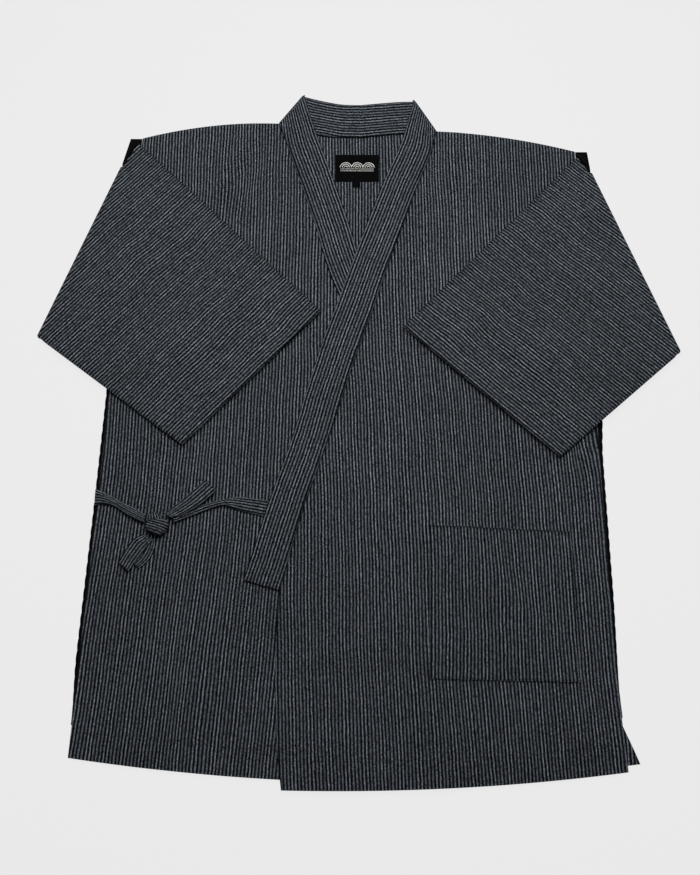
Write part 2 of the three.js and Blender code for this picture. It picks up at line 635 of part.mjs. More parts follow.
// A piece that lies on the outer front: its grid is the front's height, moved out
const POCKET_STEPS = 8;
function pocketPatch() {
  const inner = gridRow(flat(POCKET.bottomInner), flat(POCKET.topInner), POCKET_STEPS);
  const outer = gridRow(flat(POCKET.bottomOuter), flat(POCKET.topOuter), POCKET_STEPS);
  const rows = inner.map((point, i) => gridRow(point, outer[i], POCKET_STEPS));
  for (const point of rows.flat()) {
    point.z = frontLow.left(point.x, point.y) + CLOTH + SEAM_GAP + CLOTH / 2;
  }
  return clothWall(rows, CLOTH);
}

function flatRectangle({ x, y, width, height }, low, thickness) {
  const geometry = new THREE.BoxGeometry(width, height, thickness);
  geometry.translate(x, y, low + thickness / 2);
  return geometry;
}

// A ribbon through its cross lines, smoothed
const RIBBON_STEPS = 12;
const RIBBON_COLUMNS = 2;
function ribbon(table) {
  const curve = (kx, ky) => new THREE.CatmullRomCurve3(table.map((row) => new THREE.Vector3(
    row[kx], row[ky], TIE_LOW + row.rise + TIE_THICK / 2,
  )));
  const a = curve("ax", "ay");
  const b = curve("bx", "by");
  const rows = [];
  for (let i = 0; i <= RIBBON_STEPS; i += 1) {
    const t = i / RIBBON_STEPS;
    rows.push(gridRow(a.getPoint(t), b.getPoint(t), RIBBON_COLUMNS));
  }
  return clothWall(rows, TIE_THICK);
}

// The knot: a lump with rounded ends, ringed by the ribbon's wraps, flat underneath
const KNOT_RINGS = 18;
const KNOT_SPOKES = 14;
function knotLump() {
  const turn = THREE.MathUtils.degToRad(KNOT.turn);
  const positions = [];
  const index = [];
  const place = (along, across, z) => {
    positions.push(
      KNOT.x + along * Math.cos(turn) - across * Math.sin(turn),
      KNOT.y + along * Math.sin(turn) + across * Math.cos(turn),
      TIE_LOW + z,
    );
  };
  place(-KNOT.halfLength, 0, KNOT.height * KNOT.endHeight);
  for (let i = 1; i < KNOT_RINGS; i += 1) {
    const t = i / KNOT_RINGS;
    const along = -Math.cos(Math.PI * t);
    const round = Math.sin(Math.PI * t) ** KNOT.roundness;
    const wrap = 1 + KNOT.wrapDepth * Math.cos(2 * Math.PI * KNOT.wraps * t);
    for (let j = 0; j < KNOT_SPOKES; j += 1) {
      const angle = (2 * Math.PI * j) / KNOT_SPOKES;
      const z = (KNOT.height / 2) * (1 + Math.sin(angle) * round * wrap);
      place(along * KNOT.halfLength, Math.cos(angle) * KNOT.halfWidth * round * wrap,
        Math.max(0, z));
    }
  }
  place(KNOT.halfLength, 0, KNOT.height * KNOT.endHeight);
  const last = 1 + (KNOT_RINGS - 1) * KNOT_SPOKES;
  const lastRing = KNOT_RINGS - 2;
  const at = (i, j) => 1 + i * KNOT_SPOKES + (j % KNOT_SPOKES);
  for (let j = 0; j < KNOT_SPOKES; j += 1) {
    index.push(0, at(0, j + 1), at(0, j), last, at(lastRing, j), at(lastRing, j + 1));
    for (let i = 0; i < lastRing; i += 1) {
      index.push(at(i, j), at(i, j + 1), at(i + 1, j + 1));
      index.push(at(i, j), at(i + 1, j + 1), at(i + 1, j));
    }
  }
  return closedGeometry(positions, index);
}

const garment = new THREE.Group();
function add(name, geometry, finish) {
  const mesh = new THREE.Mesh(geometry, new THREE.MeshStandardMaterial(finish));
  mesh.name = name;
  garment.add(mesh);
}

add("back", backPanel(), COTTON);
for (const side of SIDES) {
  add(`front_${side}`, frontPanel(side), COTTON);
  add(`collar_${side}`, collarHalf(side), COTTON);
  add(`sleeve_${side}`, sleeveTube(side), COTTON);
  add(`lace_armhole_${side}`, armholeLace(side), TAPE);
  add(`lace_turn_${side}`, laceTurn(side), TAPE);
  add(`lace_side_${side}`, sideLace(side), TAPE);
}
add("pocket", pocketPatch(), COTTON);
add("label", flatRectangle(LABEL, LABEL_LOW, LABEL_THICK), WOVEN_LABEL);
add("size_tab", flatRectangle(SIZE_TAB, LABEL_LOW, LABEL_THICK), WOVEN_LABEL);
for (const [name, table] of Object.entries(TIES)) {
  add(name, ribbon(table), COTTON);
}
add("tie_knot", knotLump(), COTTON);

// The origin is at the middle of the garment's footprint, on the surface
const box = new THREE.Box3().setFromObject(garment);
const middle = box.getCenter(new THREE.Vector3());
garment.position.set(-middle.x, -middle.y, 0);

export default garment;
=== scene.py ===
# %% [markdown]
# # A jinbei top, laid flat
#
# A jinbei is a short summer jacket of puckered, striped cotton. This one lies face up on a pale
# surface with both sleeves turned in over the chest. The solids of the part already hold each
# piece of cloth at its real size. This notebook covers them with finer cloth: the same surfaces
# on closer grids, with the creases, the hems, the stitches, the openwork tape and the stripes.
#
# All sizes are millimetres until a mesh is made, because a maker measures cloth that way.

import bpy
import numpy as np
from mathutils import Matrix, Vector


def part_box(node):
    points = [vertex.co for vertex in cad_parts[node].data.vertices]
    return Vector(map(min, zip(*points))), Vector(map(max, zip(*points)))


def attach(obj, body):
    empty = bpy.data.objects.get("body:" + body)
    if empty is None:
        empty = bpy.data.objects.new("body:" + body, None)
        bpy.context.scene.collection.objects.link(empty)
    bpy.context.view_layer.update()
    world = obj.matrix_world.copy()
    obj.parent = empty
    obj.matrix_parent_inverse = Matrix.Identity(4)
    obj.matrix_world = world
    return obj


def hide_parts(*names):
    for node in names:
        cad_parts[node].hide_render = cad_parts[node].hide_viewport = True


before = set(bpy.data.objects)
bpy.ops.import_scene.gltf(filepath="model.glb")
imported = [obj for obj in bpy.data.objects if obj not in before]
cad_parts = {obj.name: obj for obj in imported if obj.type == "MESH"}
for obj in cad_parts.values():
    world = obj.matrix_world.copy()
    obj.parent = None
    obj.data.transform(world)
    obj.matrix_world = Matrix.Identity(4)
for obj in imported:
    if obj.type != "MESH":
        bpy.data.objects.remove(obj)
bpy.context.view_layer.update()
label_low, label_high = (np.array(corner) * 1000 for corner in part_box("label"))
LABEL = {"x": -0.9, "y": 306.0, "width": 51.5, "height": 37.0}
SHIFT = (label_low + label_high) / 2 - (LABEL["x"], LABEL["y"], 0)
SHIFT[2] = 0
print("garment origin in the frame, mm:", SHIFT.round(2))

# %% [markdown]
# ## The camera
#
# The photograph was taken from about 1.26 m above the surface, a little to the hem's side, and
# looks back towards the collar at 20 degrees from straight down. The lens follows from how much
# faster the hem is drawn than the collar: 50 mm on a 36 mm sensor.

# %% Camera
CAMERA_AT = (-9.5, -490.0, 1256.5)
CAMERA_TILT = 19.9
camera_data = bpy.data.cameras.new("camera")
camera_data.lens = 50
camera_data.sensor_width = 36
camera = bpy.data.objects.new("camera", camera_data)
camera.location = (np.array(CAMERA_AT) + SHIFT) / 1000
camera.rotation_euler = (np.radians(CAMERA_TILT), 0, 0)
bpy.context.scene.collection.objects.link(camera)
bpy.context.scene.camera = camera
print("camera at", [round(value, 4) for value in camera.location])

# %% [markdown]
# ## Small tools for surfaces
#
# Cloth is easiest to describe by a few measured points and smooth rules between them. These
# helpers work on whole arrays: a smooth step, a curve through points, a number read between the
# rows of a table, and soft folds that rise and fall to nothing.

# %% Helpers: steps, curves and folds


def smooth(low, high, value):
    """0 below low, 1 above high, and 3t^2 - 2t^3 between them."""
    t = np.clip((value - low) / (high - low), 0, 1)
    return t * t * (3 - 2 * t)


def mix(a, b, t):
    """a at t 0, b at t 1, a straight line between."""
    return a + (b - a) * t


def curve_through(points, count):
    """count points on a Catmull-Rom curve through the rows of points: between rows 1 and 2 it is
    the cubic whose slope at each row is half the step between that row's neighbours."""
    points = np.asarray(points, float)
    first = 2 * points[:1] - points[1:2]
    last = 2 * points[-1:] - points[-2:-1]
    padded = np.concatenate([first, points, last])
    t = np.linspace(0, len(points) - 1, count)
    i = np.minimum(t.astype(int), len(points) - 2)
    f = (t - i)[:, None]
    p0, p1, p2, p3 = (padded[i + k] for k in range(4))
    return 0.5 * (2 * p1 + (p2 - p0) * f + (2 * p0 - 5 * p1 + 4 * p2 - p3) * f**2
                  + (3 * p1 - p0 - 3 * p2 + p3) * f**3)


def even_steps(path, count):
    """The same path with count points at equal distances along it."""
    length = np.r_[0, np.cumsum(np.linalg.norm(np.diff(path, axis=0), axis=1))]
    at = np.linspace(0, length[-1], count)
    return np.stack([np.interp(at, length, path[:, k]) for k in range(path.shape[1])], -1)


def soft_folds(table, x, y):
    """Sum of soft ridges, or troughs where the height is negative. Each row is x, y, direction in
    degrees, half length, half width, height: height * (1 - along^2)^2 * (1 - across^2)^2."""
    total = np.zeros(np.broadcast(x, y).shape)
    for fx, fy, turn, length, width, height in table:
        c, s = np.cos(np.radians(turn)), np.sin(np.radians(turn))
        along = ((x - fx) * c + (y - fy) * s) / length
        across = ((y - fy) * c - (x - fx) * s) / width
        total += height * np.maximum(0, 1 - along**2) ** 2 * np.maximum(0, 1 - across**2) ** 2
    return total


# %% [markdown]
# ## From a grid of points to a wall of cloth
#
# Every piece is one sheet. Its middle surface is a grid of points, and the wall is that grid
# moved half the cloth's thickness out and in along its normals and closed at the rims. Each
# point also carries its place in the flat cloth, in millimetres: how far across the stripes and
# how far along them. That is the piece's UV map, so the stripes bend exactly as the cloth does.

# %% Helper: a wall of cloth
GRIDS = {}


def grid_normals(grid, loop):
    """Unit normals of a grid: the cross product of the steps across and along."""
    along = np.gradient(grid, axis=0)
    if loop:
        across = np.roll(grid, -1, axis=1) - np.roll(grid, 1, axis=1)
    else:
        across = np.gradient(grid, axis=1)
    normal = np.cross(across, along)
    return normal / np.maximum(np.linalg.norm(normal, axis=2, keepdims=True), 1e-9)


def make_mesh(name, points, faces, corner_uv, material, sharp=50):
    """An object from points in mm, faces, and one (across, along) pair in mm for each face
    corner, on the frame's own root body."""
    mesh = bpy.data.meshes.new(name)
    mesh.from_pydata(((points + SHIFT) / 1000).tolist(), [], faces.tolist())
    layer = mesh.uv_layers.new(name="cloth_mm")
    layer.data.foreach_set("uv", corner_uv.astype(np.float32).ravel())
    mesh.polygons.foreach_set("use_smooth", np.ones(len(faces), bool))
    mesh.set_sharp_from_angle(angle=np.radians(sharp))
    mesh.materials.append(material)
    piece = bpy.data.objects.new(name, mesh)
    bpy.context.scene.collection.objects.link(piece)
    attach(piece, "root")
    return piece


def cloth_wall(name, grid, flat, thickness, material, loop=False):
    """A closed wall around a grid of middle points. thickness is one number or one for each
    point. flat holds the place in the flat cloth, with one more column than the grid in a loop."""
    rows, columns, _ = grid.shape
    normal = grid_normals(grid, loop)
    half = np.broadcast_to(np.asarray(thickness, float), (rows, columns))[..., None] / 2
    points = np.concatenate([(grid + normal * half).reshape(-1, 3),
                             (grid - normal * half).reshape(-1, 3)])
    wide = columns if loop else columns - 1
    i, j = np.meshgrid(np.arange(rows - 1), np.arange(wide), indexing="ij")
    i, j = i.ravel(), j.ravel()

    def at(row, column, side):
        return side * rows * columns + row * columns + column % columns

    def uv(row, column):
        return row * flat.shape[1] + column

    faces = [np.stack([at(i, j, 0), at(i, j + 1, 0), at(i + 1, j + 1, 0), at(i + 1, j, 0)], 1),
             np.stack([at(i, j, 1), at(i + 1, j, 1), at(i + 1, j + 1, 1), at(i, j + 1, 1)], 1)]
    corners = [np.stack([uv(i, j), uv(i, j + 1), uv(i + 1, j + 1), uv(i + 1, j)], 1),
               np.stack([uv(i, j), uv(i + 1, j), uv(i + 1, j + 1), uv(i, j + 1)], 1)]
    j = np.arange(wide)
    for row in (0, rows - 1):
        near, far = (j, j + 1) if row == 0 else (j + 1, j)
        faces.append(np.stack([at(row, near, 0), at(row, near, 1), at(row, far, 1),
                               at(row, far, 0)], 1))
        corners.append(np.stack([uv(row, near), uv(row, near), uv(row, far), uv(row, far)], 1))
    if not loop:
        i = np.arange(rows - 1)
        for column in (0, columns - 1):
            near, far = (i + 1, i) if column == 0 else (i, i + 1)
            faces.append(np.stack([at(near, column, 0), at(near, column, 1), at(far, column, 1),
                                   at(far, column, 0)], 1))
            corners.append(np.stack([uv(near, column), uv(near, column), uv(far, column),
                                     uv(far, column)], 1))
    faces = np.concatenate(faces)
    corner_uv = flat.reshape(-1, 2)[np.concatenate(corners).ravel()]
    a, b, c, d = (points[faces[:, k]] for k in range(4))
    volume = (np.cross(b - a, c - a) * a).sum() + (np.cross(c - a, d - a) * a).sum()
    if volume < 0:
        faces = faces[:, ::-1]
        corner_uv = corner_uv.reshape(-1, 4, 2)[:, ::-1].reshape(-1, 2)
    piece = make_mesh(name, points, faces, corner_uv, material)
    GRIDS[name] = grid
    ring = np.concatenate([grid, grid[:, :1]], axis=1) if loop else grid
    diagonals = np.cross(ring[1:, 1:] - ring[:-1, :-1], ring[1:, :-1] - ring[:-1, 1:])
    area = np.linalg.norm(diagonals, axis=2).sum() / 2
    print(f"{name}: {rows} x {columns} points, {area / 100:.1f} cm2 of cloth")
    return piece


# %% [markdown]
# ## Small tools for materials
#
# The colours are read as sRGB hex values, as a colour picker shows them, and turned to the
# linear numbers that a shader works with. One function adds a node with its settings and links.

# %% Helpers: colours and nodes


def linear(hex_colour):
    """(r, g, b, 1) in linear light of an sRGB hex colour: ((c + 0.055) / 1.055) ^ 2.4."""
    values = np.array([int(hex_colour[k:k + 2], 16) for k in (1, 3, 5)]) / 255
    values = np.where(values <= 0.04045, values / 12.92, ((values + 0.055) / 1.055) ** 2.4)
    return (*values, 1.0)


def new_material(name):
    """An empty node material and its node tree."""
    material = bpy.data.materials.new(name)
    material.use_nodes = True
    material.node_tree.nodes.clear()
    return material, material.node_tree


def node(tree, kind, inputs=None, **settings):
    """A node of that kind. settings are its properties, and inputs maps a socket's name or
    number to a plain value or to another node's output socket."""
    made = tree.nodes.new(kind)
    for key, value in settings.items():
        setattr(made, key, value)
    for key, value in (inputs or {}).items():
        if isinstance(value, bpy.types.NodeSocket):
            tree.links.new(value, made.inputs[key])
        else:
            made.inputs[key].default_value = value
    return made


# %% [markdown]
# ## Striped puckered cotton
#
# The cloth is shijira-ori: plain-woven cotton whose warp is put on in bands of different
# tension, so the bands shrink unevenly and the surface puckers. Grey yarns make lines on a
# navy-black ground. The lines stand about 3.6 mm apart and repeat after five: two bright, one
# dim, one middling and one dim. The chart below is that repeat, drawn in millimetres. The
# yarn isn't even, so the lines break up along their length, and the puckers are a fine bump.

# %% Material: striped cotton
REPEAT = 18.0
NAVY_BLACK = "#0c0e19"
NAVY_GREY = "#131720"
LINE_BRIGHT = "#848b92"
LINE_MIDDLE = "#727980"
LINE_DIM = "#687077"
STRIPE_CHART = [
    (0.95, NAVY_BLACK), (1.4, LINE_BRIGHT), (2.2, LINE_BRIGHT), (2.65, NAVY_BLACK),
    (4.55, NAVY_BLACK), (5.0, LINE_BRIGHT), (5.8, LINE_BRIGHT), (6.25, NAVY_BLACK),
    (8.0, NAVY_BLACK), (8.55, LINE_DIM), (9.45, LINE_DIM), (10.0, NAVY_GREY),
    (11.6, NAVY_GREY), (12.15, LINE_MIDDLE), (13.05, LINE_MIDDLE), (13.6, NAVY_GREY),
    (15.2, NAVY_GREY), (15.75, LINE_DIM), (16.65, LINE_DIM), (17.2, NAVY_BLACK),
]


def striped_cotton(name):
    """The cloth's material: the chart across the stripes, bent and broken up by noise, with pale
    flecks of lint on it, darkened by the painted shade at the rims, and the puckers as a bump."""
    material, tree = new_material(name)
    place = node(tree, "ShaderNodeUVMap", uv_map="cloth_mm")
    split = node(tree, "ShaderNodeSeparateXYZ", {0: place.outputs[0]})
    across, along = split.outputs[0], split.outputs[1]

    def noise_at(across_mm, along_mm, detail, seed):
        """Noise whose blobs are that many mm across the stripes and along them."""
        scaled = node(tree, "ShaderNodeVectorMath",
                      {0: place.outputs[0], 1: (1 / across_mm, 1 / along_mm, 1)},
                      operation="MULTIPLY")
        moved = node(tree, "ShaderNodeVectorMath", {0: scaled.outputs[0], 1: (seed, seed, seed)},
                     operation="ADD")
        return node(tree, "ShaderNodeTexNoise",
                    {"Vector": moved.outputs[0], "Scale": 1.0, "Detail": detail,
                     "Roughness": 0.55}).outputs[0]

    def maths(kind, a, b, c=None):
        """The output of a maths node of that kind on two or three values."""
        inputs = {0: a, 1: b}
        if c is not None:
            inputs[2] = c
        return node(tree, "ShaderNodeMath", inputs, operation=kind).outputs[0]

    sway = maths("MULTIPLY_ADD", noise_at(70, 110, 1, 3.1), 4.4, -2.2)
    wobble = maths("MULTIPLY_ADD", noise_at(9, 11, 2, 7.7), 1.3, -0.65)
    shifted = maths("ADD", maths("ADD", across, sway), wobble)
    phase = maths("FRACT", maths("MULTIPLY", shifted, 1 / REPEAT), 0)
    chart = node(tree, "ShaderNodeValToRGB", {0: phase})
    ramp = chart.color_ramp
    ramp.interpolation = "LINEAR"
    while len(ramp.elements) > 1:
        ramp.elements.remove(ramp.elements[-1])
    for k, (at, colour) in enumerate(STRIPE_CHART):
        element = ramp.elements[0] if k == 0 else ramp.elements.new(at / REPEAT)
        element.position = at / REPEAT
        element.color = linear(colour)
    yarn = maths("MAXIMUM", maths("MULTIPLY_ADD", noise_at(1.3, 2.3, 2, 1.3), 3.6, -0.8), 0.22)
    patches = maths("MULTIPLY_ADD", noise_at(60, 60, 2, 5.5), 0.5, 0.75)
    shade = maths("MULTIPLY", yarn, patches)
    striped = node(tree, "ShaderNodeVectorMath", {0: chart.outputs[0], 1: shade},
                   operation="MULTIPLY")
    fleck = maths("MULTIPLY", maths("MAXIMUM", maths("SUBTRACT", noise_at(1.3, 1.7, 1, 6.4), 0.52),
                                    0), 0.16)
    flecked = node(tree, "ShaderNodeVectorMath", {0: striped.outputs[0], 1: fleck},
                   operation="ADD")
    # painted shade: each point's rim value darkens the colour where a rim lies on another piece
    rim = node(tree, "ShaderNodeAttribute", attribute_name="painted_rim_shade")
    lit = maths("SUBTRACT", 1.0, rim.outputs["Fac"])
    colour = node(tree, "ShaderNodeVectorMath", {0: flecked.outputs[0], 1: lit},
                  operation="MULTIPLY")
    pucker = noise_at(2.8, 3.6, 2, 9.1)
    crinkle = noise_at(14, 22, 2, 4.2)
    rib = maths("SINE", maths("MULTIPLY", along, 2 * np.pi / 1.3), 0)
    relief = maths("ADD", maths("MULTIPLY_ADD", crinkle, 1.6, pucker), maths("MULTIPLY", rib, 0.04))
    bump = node(tree, "ShaderNodeBump", {"Height": relief, "Strength": 0.55, "Distance": 0.0011})
    cotton = node(tree, "ShaderNodeBsdfPrincipled",
                  {"Base Color": colour.outputs[0], "Roughness": 0.92, "IOR": 1.5,
                   "Specular IOR Level": 0.1, "Sheen Weight": 0.03, "Sheen Roughness": 0.5,
                   "Normal": bump.outputs[0]})
    node(tree, "ShaderNodeOutputMaterial", {0: cotton.outputs[0]})
    return material


COTTON = striped_cotton("shijira_cotton_navy_grey_stripe")
print("stripe chart rows:", len(STRIPE_CHART))

# %% [markdown]
# ## The layers and the lap
#
# Flat clothes are a pile of layers. The back lies on the surface, a front lies on the back, and
# the outer front climbs where it laps over the inner front, over the hidden collar and over the
# sewn end of the tie. One rule gives the height of each front's underside at any place, and
# everything that lies on a front is made from that rule.

# %% Heights of the layers
CLOTH = 1.2
COLLAR_THICK = 2.4
SEAM_GAP = 0.4
FRONT_LOW = 1.8
LAP_RISE = 1.8
COLLAR_RISE = 1.2
TIE_RISE = 2.4
LAP_FOOT = (121.5, -196.0)
LAP_SLOPE = 0.317
SIDES = {"left": 1, "right": -1}

SIDE_EDGE = {
    "left": [(260.5, 328.5), (263.5, 63), (263.2, -22), (263.4, -185), (264.5, -310),
             (266.5, -345), (268.8, -391.5)],
    "right": [(-259.5, 347), (-275.5, 76), (-278, -4), (-282, -120), (-287.5, -250),
              (-290.5, -330), (-292.5, -377.5)],
}
BACK_CORNER = {"left": (281.5, -383.5), "right": (-291, -375)}
HEM_CORNER = {"left": (-78, -409), "right": (85, -401)}
FRONT_BELLY = {"left": -5.5, "right": 4}
SHOULDER_BOW = {"left": 5, "right": 7}
HEM_BOW = {"left": -6.5, "right": -8}
FRONT_FOLDS = {
    "left": [(120, 300, 75, 60, 30, 2.4), (232, -70, 82, 70, 26, 2.0),
             (-28, -372, 96, 40, 40, 2.0), (150, -352, 92, 50, 40, 1.6),
             (112, 322, 78, 40, 8, 2.4), (101, 334, 80, 18, 4.5, -1.4), (88, 296, 66, 34, 7, -0.9),
             (248, -30, 86, 40, 7, 1.6),
             (238, -60, 76, 34, 6, -0.8), (256, -5, 96, 30, 6, 1.2), (40, -140, 88, 90, 9, 0.5),
             (175, -60, 84, 60, 11, 0.7), (60, -330, 92, 60, 10, 0.6), (205, -360, 88, 40, 9, 0.8),
             (150, -138.6, -2.3, 95, 3.4, -0.8), (106, -131, 5, 44, 6, -1.0),
             (69.5, -220, 91, 95, 3.0, -0.7), (150, -304.5, -1.3, 95, 3.0, -0.4),
             (229.5, -222, 89.6, 90, 3.0, -0.5)],
    "right": [(-150, 306, 78, 70, 34, 2.4), (-176, -322, 86, 90, 42, 3.0),
              (-238, -330, 92, 60, 36, 1.6), (-143, 300, 66, 62, 9, 2.4),
              (-131, 277, 62, 46, 7, -1.4), (-120, 284, 62, 44, 7, 1.6), (-168, -330, 84, 70, 8, -1.2),
              (-192, -340, 88, 60, 9, 0.8), (-120, -250, 92, 80, 10, 0.6),
              (-232, -240, 86, 60, 9, 0.7), (-215, -60, 88, 40, 9, 0.5)],
}


def lap_edge(y):
    """x of the hidden collar's free edge, and below it of the inner front's edge."""
    line = LAP_FOOT[0] - LAP_SLOPE * (y - LAP_FOOT[1])
    below = mix(HEM_CORNER["right"][0] + 2, LAP_FOOT[0], smooth(-290, LAP_FOOT[1], y))
    return np.where(y > LAP_FOOT[1], line, below)


def outer_low(x, y):
    """Underside of the outer front: the front's level plus a smooth step at each thing below."""
    right = x - lap_edge(y)
    on_collar = (1 - smooth(24, 80, np.abs(right + 20))) * smooth(-300, -200, y)
    on_tie = 1 - smooth(18, 75, np.hypot(x + 95, y + 117))
    return (FRONT_LOW + LAP_RISE * (1 - smooth(0, 75, right)) + COLLAR_RISE * on_collar
            + TIE_RISE * on_tie)


def front_low(side, x, y):
    """Underside of a front: its level plus its own folds."""
    level = outer_low(x, y) if side == "left" else FRONT_LOW
    return level + soft_folds(FRONT_FOLDS[side], x, y)


# %% [markdown]
# ## The collar's lines
#
# The collar is one long folded band, seamed at the centre back. Each half runs from its lower
# end up the front edge, turns over beside the neck and shows its other face behind it. Its free
# edge is a curve through measured points, and its seam edge stands a band's width outside it.

# %% Collar lines
COLLAR_ROWS = {
    "left": [(-121.5, -196, 39.5), (-96, -109, 37), (-77.5, -52, 37.5), (-59, 14, 40),
             (-40, 80, 41), (-22.5, 130, 41), (-6, 181, 40), (11.5, 233.5, 40),
             (30.5, 287.5, 39.5), (52, 341, 38)],
    "right": [(121.5, -196, 39.5), (96, -109, 38.5), (77.5, -52, 38.5), (59, 14, 38.5),
              (40, 80, 38.5), (22, 130, 38.5), (2.5, 181, 38.5), (-11.8, 234.5, 38.5),
              (-28.6, 288.5, 38.5), (-47, 344, 38)],
}
NECK_FOLD = {"left": {"seam": (94.8, 357), "free": (68.8, 398)},
             "right": {"seam": (-95.4, 368), "free": (-66.4, 405)}}
BACK_SEAM = {"left": [(52, 354.8), (27, 352), (2.62, 349.4)],
             "right": [(-47, 352.7), (-21, 349.9), (2.58, 349.3)]}
BACK_FREE = {"left": [(50, 396), (27, 394), (2.62, 391.5)],
             "right": [(-44, 397.5), (-20, 392.5), (2.58, 391.5)]}
COLLAR_STEPS = 150


def collar_lines(side):
    """Free and seam edge of a half, lower end to neck fold: the seam point is the free one moved
    sideways by the width read between the table's rows."""
    rows = np.array(COLLAR_ROWS[side])
    fold = NECK_FOLD[side]
    path = curve_through(np.vstack([rows[:, :2], fold["free"]]), 600)
    path = path[path[:, 1] <= rows[-1, 1]]
    free = even_steps(path, COLLAR_STEPS)
    ahead = np.gradient(free, axis=0)
    ahead /= np.linalg.norm(ahead, axis=1, keepdims=True)
    width = np.interp(free[:, 1], rows[:, 1], rows[:, 2])[:, None]
    seam = free + SIDES[side] * width * np.stack([ahead[:, 1], -ahead[:, 0]], 1)
    t = np.linspace(0, 1, 14)[1:, None]
    return (np.vstack([free, mix(free[-1], np.array(fold["free"]), t)]),
            np.vstack([seam, mix(seam[-1], np.array(fold["seam"]), t)]))


COLLAR_LINES = {side: collar_lines(side) for side in SIDES}
print("collar lines:", {side: len(lines[0]) for side, lines in COLLAR_LINES.items()})

# %% [markdown]
# ## The back and the two fronts
#
# Each panel is a patch between four edges: hem, shoulder, side and front edge. The grid inside
# is blended from the edges, and its height comes from the layer rule. The stripes run from hem
# to shoulder. On the inner front they lean, because that side was pulled out when it was laid.

# %% Panels
PANEL_ROWS = 230
PANEL_COLUMNS = 150


def patch(bottom, top, low_side, high_side):
    """Points between four edges: bottom to top plus side to side, less the corners' blend."""
    v = np.linspace(0, 1, len(low_side))[:, None, None]
    u = np.linspace(0, 1, len(bottom))[None, :, None]
    corners = mix(mix(bottom[0], bottom[-1], u), mix(top[0], top[-1], u), v)
    return (mix(bottom[None], top[None], v) + mix(low_side[:, None], high_side[:, None], u)
            - corners)


def bowed(start, end, bow, count):
    """A line from start to end whose middle rises by bow in y."""
    t = np.linspace(0, 1, count)[:, None]
    return mix(np.array(start, float), np.array(end, float), t) + (0, bow) * (4 * t * (1 - t))


def by_height(points, count):
    """count points on a line through the points, at equal steps of y."""
    points = np.asarray(points, float)
    points = points[np.argsort(points[:, 1])]
    y = np.linspace(points[0, 1], points[-1, 1], count)
    return np.stack([np.interp(y, points[:, 1], points[:, 0]), y], 1)


def body_flat(x, y, leans, pulls):
    """Place in the flat cloth: across is x plus the lean read between the rows (y, mm) and the
    local pulls of the folds, along is y."""
    rows = np.array(leans)
    across = x + np.interp(y, rows[:, 0], rows[:, 1]) + soft_folds(pulls, x, y)
    return np.stack([across, y + np.zeros_like(x)], -1)


FRONT_LEANS = {"left": [(-410, -3.5), (-300, 1.0), (-200, 3.4), (-100, 5.2), (0, 9.2), (60, 13.0),
                        (180, 15.5), (360, 16.0)],
               "right": [(-410, 27), (-350, 22), (-300, 18.5), (-250, 15), (-200, 11),
                         (-150, 6.5), (-100, 3), (-50, 1.2), (60, 0), (360, 0)]}
FRONT_PULLS = {"left": [(106, 306, 75, 60, 26, 2.0), (245, -30, 86, 60, 22, 4.5)],
               "right": [(-138, 292, 70, 62, 26, -2.6), (-172, -330, 88, 90, 26, 2.2)]}
SHADE_EDGE = 2.2


def front_panel(side):
    """One front: side edge, hem, front edge and collar seam, shoulder."""
    sign = SIDES[side]
    seam = COLLAR_LINES[side][1] + (sign * SEAM_GAP, 0)
    corner = np.array(HEM_CORNER[side], float)
    t = np.linspace(0, 1, 40)[:-1, None]
    edge = mix(corner, seam[0], t) + (FRONT_BELLY[side], 0) * (4 * t * (1 - t))
    inner = by_height(np.vstack([edge, seam]), PANEL_ROWS)
    outer = by_height(SIDE_EDGE[side], PANEL_ROWS) - (sign * SEAM_GAP, 0)
    hem = bowed(outer[0], inner[0], HEM_BOW[side], PANEL_COLUMNS)
    shoulder = bowed(outer[-1], inner[-1], SHOULDER_BOW[side], PANEL_COLUMNS)
    plane = patch(hem, shoulder, outer, inner)
    x, y = plane[..., 0], plane[..., 1]
    drop = smooth(0, SHADE_EDGE, np.minimum(np.abs(y - shoulder[None, :, 1]), 99))
    low = front_low(side, x, y)
    z = low + CLOTH / 2 - 0.5 * (1 - drop)
    hem_line = y - hem[None, :, 1]
    z = z - 0.25 * np.exp(-((hem_line - 27) / 1.6) ** 2) + 0.25 * (1 - smooth(24, 28, hem_line))
    flat = body_flat(x, y, FRONT_LEANS[side], FRONT_PULLS[side])
    return cloth_wall(f"front_{side}_cloth", np.stack([x, y, z], -1), flat, 1.0, COTTON)


